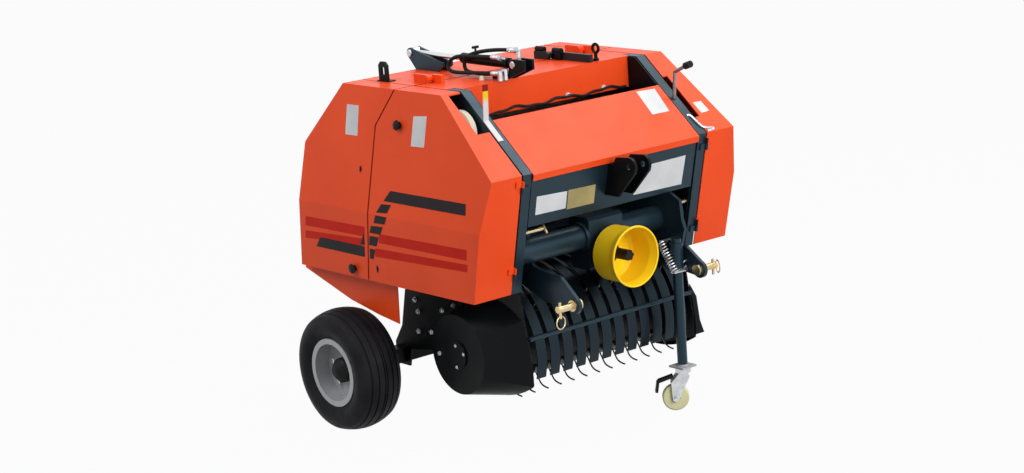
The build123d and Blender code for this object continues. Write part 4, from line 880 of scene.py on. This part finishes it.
# control points of the upper and lower half of each hose
HOSES = [
    (
        [(206, -150, 1224), (150, -150, 1222), (85, -156, 1217), (30, -170, 1208), (-12, -178, 1192),
         (-20, -178, 1180), (-20, -178, 1168)],
        [(-20, -178, 1168), (-20, -178, 1157), (-10, -178, 1146), (30, -178, 1142), (90, -178, 1143),
         (140, -178, 1149), (176, -176, 1158)],
    ),
    (
        [(153, -176, 1200), (100, -176, 1200), (50, -177, 1197), (0, -178, 1196), (-55, -180, 1192),
         (-88, -184, 1176), (-90, -188, 1163)],
        [(-90, -188, 1163), (-92, -191, 1152), (-66, -195, 1142), (-20, -196, 1143), (30, -196, 1146),
         (90, -197, 1150), (140, -198, 1152), (176, -198, 1154)],
    ),
]
# (along, radius) pairs from the union nut to the end on the hose
FERRULE_LINE = [
    (-9, 0), (-9, FERRULE_R + 1.5), (0, FERRULE_R + 1.5), (0, FERRULE_R - 1), (3, FERRULE_R),
    (9, FERRULE_R), (11, FERRULE_R - 1), (13, FERRULE_R), (31, FERRULE_R), (34, FERRULE_R - 1), (34, 0),
]
UNION_R, UNION_AHEAD, UNION_ABOVE = 9.0, 6.0, 9.0
hose_rubber = moulded("hose_rubber", (0.010, 0.010, 0.011), (0.018, 0.018, 0.019), (0.34, 0.48), 260.0, 0.15)


def add_ferrule(mesh, start, towards):
    """A crimped ferrule and its union nut round a hose's end."""
    add_turned(mesh, place(*start), place(*towards) - place(*start), FERRULE_LINE, 20)


for number, (upper_run, lower_run) in enumerate(HOSES):
    upper_hose = bmesh.new()
    add_wire(upper_hose, [place(*point) for point in upper_run], HOSE_R)
    finish_piece(f"hose_{number + 1}_upper", upper_hose, hose_rubber, "cylinder", 1.2)
    lower_hose = bmesh.new()
    add_wire(lower_hose, [place(*point) for point in lower_run], HOSE_R)
    lower_piece = finish_piece(f"hose_{number + 1}_lower", lower_hose, hose_rubber, None, 1.2)
    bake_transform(lower_piece)
    fitting = bmesh.new()
    add_ferrule(fitting, upper_run[0], upper_run[1])
    finish_piece(f"hose_{number + 1}_port_fitting", fitting, bright_zinc, "cylinder")
    union = bmesh.new()
    add_ferrule(union, lower_run[-1], lower_run[-2])
    x, y, z = lower_run[-1]
    add_rod(union, (x + UNION_AHEAD, y, PANEL_Z - 2), (x + UNION_AHEAD, y, z + UNION_ABOVE), UNION_R, 6)
    finish_piece(f"hose_{number + 1}_union", union, bright_zinc, "frame")

# Cylinder details: an elbow at the base, the lower port, a T-handled bleed screw, and zinc pin heads outside
# the plates of the bracket and the lug.
CYLINDER_Y, CYLINDER_PIN, ROD_EYE = -150.0, (215.0, 1180.0), (-314.0, 1184.0)
PLATE_OUTER = 21.3
# both ends of each hexagon bar of the ports as (x, z) at the cylinder's middle, then the lower port by itself
ELBOW_BARS = [((222, 1184), (222, 1229)), ((228, 1224), (204, 1224))]
LOWER_PORT = ((160, -158, 1190), (160, -184, 1201))
PORT_R = 8.0
BLEED_X, BLEED_FOOT_Z, BLEED_TOP_Z = 7, 1190, 1221
BLEED_STEM_R, BLEED_BAR_R, BLEED_BAR_HALF = 3.5, 4.5, 13
# (along, radius) pairs of a pin's head
PIN_HEAD_LINE = [(-2, 0), (-2, 12), (3, 12), (5, 10), (5, 0)]
ports = bmesh.new()
for (x, z), (end_x, end_z) in ELBOW_BARS:
    add_rod(ports, (x, CYLINDER_Y, z), (end_x, CYLINDER_Y, end_z), PORT_R, 6)
add_rod(ports, *LOWER_PORT, PORT_R, 6)
finish_piece("cylinder_ports", ports, bright_zinc, "cylinder")
bleed = bmesh.new()
add_rod(bleed, (BLEED_X, CYLINDER_Y, BLEED_FOOT_Z), (BLEED_X, CYLINDER_Y, BLEED_TOP_Z), BLEED_STEM_R)
bar_start, bar_end = ((BLEED_X, CYLINDER_Y + way * BLEED_BAR_HALF, BLEED_TOP_Z) for way in (-1, 1))
add_rod(bleed, bar_start, bar_end, BLEED_BAR_R)
finish_piece("bleed_screw", bleed, knob_plastic, "cylinder")
for name, (x, z), body in (("base_pin_heads", CYLINDER_PIN, "frame"), ("rod_pin_heads", ROD_EYE, "tailgate")):
    heads = bmesh.new()
    for side in (1, -1):
        y = CYLINDER_Y + side * PLATE_OUTER
        add_turned(heads, place(x, y, z), Vector((0, side, 0)), PIN_HEAD_LINE)
    finish_piece(name, heads, bright_zinc, body)

# Pickup reel: a welded drum with end discs, a shaft and four tine bars, sprayed black, and fifty-two spring
# steel tines, each coiled twice round its bar and bent back towards its tip.
REEL_AXIS = (175.0, 290.0)
REEL_DRUM_R, REEL_DRUM_HALF, REEL_SHAFT_R = 126.0, 342.0, 15.0
REEL_DISC_R, REEL_DISC_T = 140.0, 5.0
TINE_BARS, FIRST_BAR_DEG = 4, -38.6
BAR_CIRCLE_R, BAR_R = 130.0, 8.0
TINE_COUNT, TINE_PITCH, TINE_TIP_R, TINE_WIRE_R = 13, 55.6, 215.0, 2.75
# radius and share of the bend along a tine, from its bar to its tip
TINE_RUN = [(BAR_CIRCLE_R + BAR_R, 0), (158, 0.5), (192, 1), (TINE_TIP_R, 0)]
TINE_BEND_DEG = -5.5
COIL_R, COIL_OFFSETS = 11.0, (-2.8, 2.8)


def reel_place(radius, degrees, y):
    """A point at a radius and an angle round the reel's axis."""
    angle = math.radians(degrees)
    return place(REEL_AXIS[0] + radius * math.cos(angle), y, REEL_AXIS[1] + radius * math.sin(angle))


ALONG_Y = Vector((0, 1, 0))
reel_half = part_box("reel")[1].y * 1000
reel_middle = place(REEL_AXIS[0], 0, REEL_AXIS[1])
reel_body = bmesh.new()
disc_inner, disc_outer = REEL_DRUM_HALF - REEL_DISC_T / 2, REEL_DRUM_HALF + REEL_DISC_T / 2
half_line = [
    (disc_inner, REEL_DRUM_R), (disc_inner, REEL_DISC_R), (disc_outer, REEL_DISC_R),
    (disc_outer, REEL_SHAFT_R), (reel_half, REEL_SHAFT_R), (reel_half, 0),
]
mirrored = [(-along, radius) for along, radius in reversed(half_line)]
add_turned(reel_body, reel_middle, ALONG_Y, mirrored + half_line, 72)
bar_line = [(0, 0), (0, BAR_R), (2 * REEL_DRUM_HALF, BAR_R), (2 * REEL_DRUM_HALF, 0)]
for bar in range(TINE_BARS):
    start = reel_place(BAR_CIRCLE_R, FIRST_BAR_DEG + 90 * bar, -REEL_DRUM_HALF)
    add_turned(reel_body, start, ALONG_Y, bar_line, 16)
dressed_reel = finish_piece("reel_drum_and_bars", reel_body, black_enamel, "pickup_reel")
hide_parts("reel")
spring_steel = plated("spring_steel", (0.16, 0.16, 0.17), (0.10, 0.09, 0.09), (0.30, 0.46), 0.08)
tines = bmesh.new()
for bar in range(TINE_BARS):
    degrees = FIRST_BAR_DEG + 90 * bar
    for number in range(TINE_COUNT):
        y = (number - (TINE_COUNT - 1) / 2) * TINE_PITCH
        run = [reel_place(radius, degrees + share * TINE_BEND_DEG, y) for radius, share in TINE_RUN]
        add_wire(tines, run, TINE_WIRE_R, sides=1)
        for offset in COIL_OFFSETS:
            coil_middle = reel_place(BAR_CIRCLE_R, degrees, y + offset)
            add_ring(tines, coil_middle, ALONG_Y, COIL_R / 1000, TINE_WIRE_R / 1000, 16, 6)
finish_piece("reel_tines", tines, spring_steel, "pickup_reel")

# Caster details: a cream polyurethane wheel, a black foot brake on the trailing side of its fork, and a zinc
# axle bolt through a dark hub.
SWIVEL = (490.0, 232.0)
# the way in which the wheel trails, in the photograph's pose
TRAIL_WAY = (-0.643, -0.766)
CASTER_TRAIL, CASTER_AXLE_Z, CASTER_HALF, FORK_HALF = 28.0, 44.0, 15.0, 24.0
# (trail, z) along the foot brake
BRAKE_LINE = [(34, 116), (84, 100), (90, 64)]
BRAKE_WIDTH, BRAKE_THICK = 26.0, 9.0
HUB_LINE = [(-2, 0), (-2, 15), (1.5, 14), (1.5, 0)]
AXLE_HEAD = (13.0, 9.0)


def caster_place(trail, across, z):
    """A point by its distance behind the swivel and across it, in drawing millimetres."""
    x = SWIVEL[0] + TRAIL_WAY[0] * trail - TRAIL_WAY[1] * across
    return x, SWIVEL[1] + TRAIL_WAY[1] * trail + TRAIL_WAY[0] * across, z


cream_wheel = moulded("cream_wheel", (0.74, 0.72, 0.42), (0.64, 0.61, 0.34), (0.36, 0.50), 240.0, 0.10, 0.05)
finish_nodes(["caster_wheel"], cream_wheel)
brake = bmesh.new()
for (near, near_z), (far, far_z) in zip(BRAKE_LINE, BRAKE_LINE[1:]):
    corners = [
        caster_place(near, -BRAKE_WIDTH / 2, near_z), caster_place(near, BRAKE_WIDTH / 2, near_z),
        caster_place(far, BRAKE_WIDTH / 2, far_z), caster_place(far, -BRAKE_WIDTH / 2, far_z),
    ]
    rise = Vector((0, 0, far - near)) + Vector((*TRAIL_WAY, 0)) * (near_z - far_z)
    add_sheet(brake, corners, rise, BRAKE_THICK / 2, BRAKE_THICK / 2)
finish_piece("caster_brake", brake, knob_plastic, "caster_swivel")
axle_way = Vector((-TRAIL_WAY[1], TRAIL_WAY[0], 0))
hub = bmesh.new()
for side in (1, -1):
    seat = place(*caster_place(CASTER_TRAIL, side * CASTER_HALF, CASTER_AXLE_Z))
    add_turned(hub, seat, side * axle_way, HUB_LINE)
finish_piece("caster_hub", hub, hose_rubber, "caster")
axle_bolt = bmesh.new()
for side in (1, -1):
    seat = place(*caster_place(CASTER_TRAIL, side * FORK_HALF, CASTER_AXLE_Z))
    add_bolt(axle_bolt, seat, side * axle_way, *AXLE_HEAD)
finish_piece("caster_axle_bolt", axle_bolt, bright_zinc, "caster_swivel")

# Top fittings: a black sleeve on the middle hinge, one half on the frame and one on the tailgate, two small
# pale rubber posts on the panel, and a black rubber lip that waves along the foot of the inner wall.
LIP_X, LIP_Z, LIP_R, LIP_HALF, LIP_STEP = 187.0, 1037.0, 4.5, 330, 22
# height and length of the two waves that make up the lip's line
LIP_WAVES = [(5.0, 31.0), (3.0, 13.0)]
POSTS = [(107, -213), (67, 247)]
POST_LINE = [(-1, 0), (-1, 9), (9, 7.5), (13, 5.5), (14, 0)]
# name of each half of the sleeve, its two ends and its foot along x, and its body
SLEEVES = [
    ("middle_hinge_sleeve_front", 0, 44, 24, "frame"),
    ("middle_hinge_sleeve_rear", -86, -42, -64, "tailgate"),
]
SLEEVE_Y, SLEEVE_Z, SLEEVE_R = 185, 1162, 9.5
SLEEVE_FOOT_Z, SLEEVE_FOOT, SLEEVE_FOOT_ROUND = 1146, (30, 16, 28), 2
for name, start_x, end_x, foot_x, body in SLEEVES:
    sleeve = bmesh.new()
    add_rod(sleeve, (start_x, SLEEVE_Y, SLEEVE_Z), (end_x, SLEEVE_Y, SLEEVE_Z), SLEEVE_R, 24)
    seat = Matrix.Translation(place(foot_x, SLEEVE_Y, SLEEVE_FOOT_Z))
    add_block(sleeve, seat, SLEEVE_FOOT, SLEEVE_FOOT_ROUND)
    finish_piece(name, sleeve, black_enamel, body)
posts = bmesh.new()
for x, y in POSTS:
    add_turned(posts, place(x, y, PANEL_Z), Vector((0, 0, 1)), POST_LINE, 24)
finish_piece("rubber_posts", posts, pale_twine, "frame")
lip = bmesh.new()
lip_line = [
    place(LIP_X, y, LIP_Z + sum(height * math.sin(y / length) for height, length in LIP_WAVES))
    for y in range(-LIP_HALF, LIP_HALF + 1, LIP_STEP)
]
add_wire(lip, lip_line, LIP_R, sides=2)
finish_piece("wall_lip", lip, hose_rubber, "frame", 1.2)
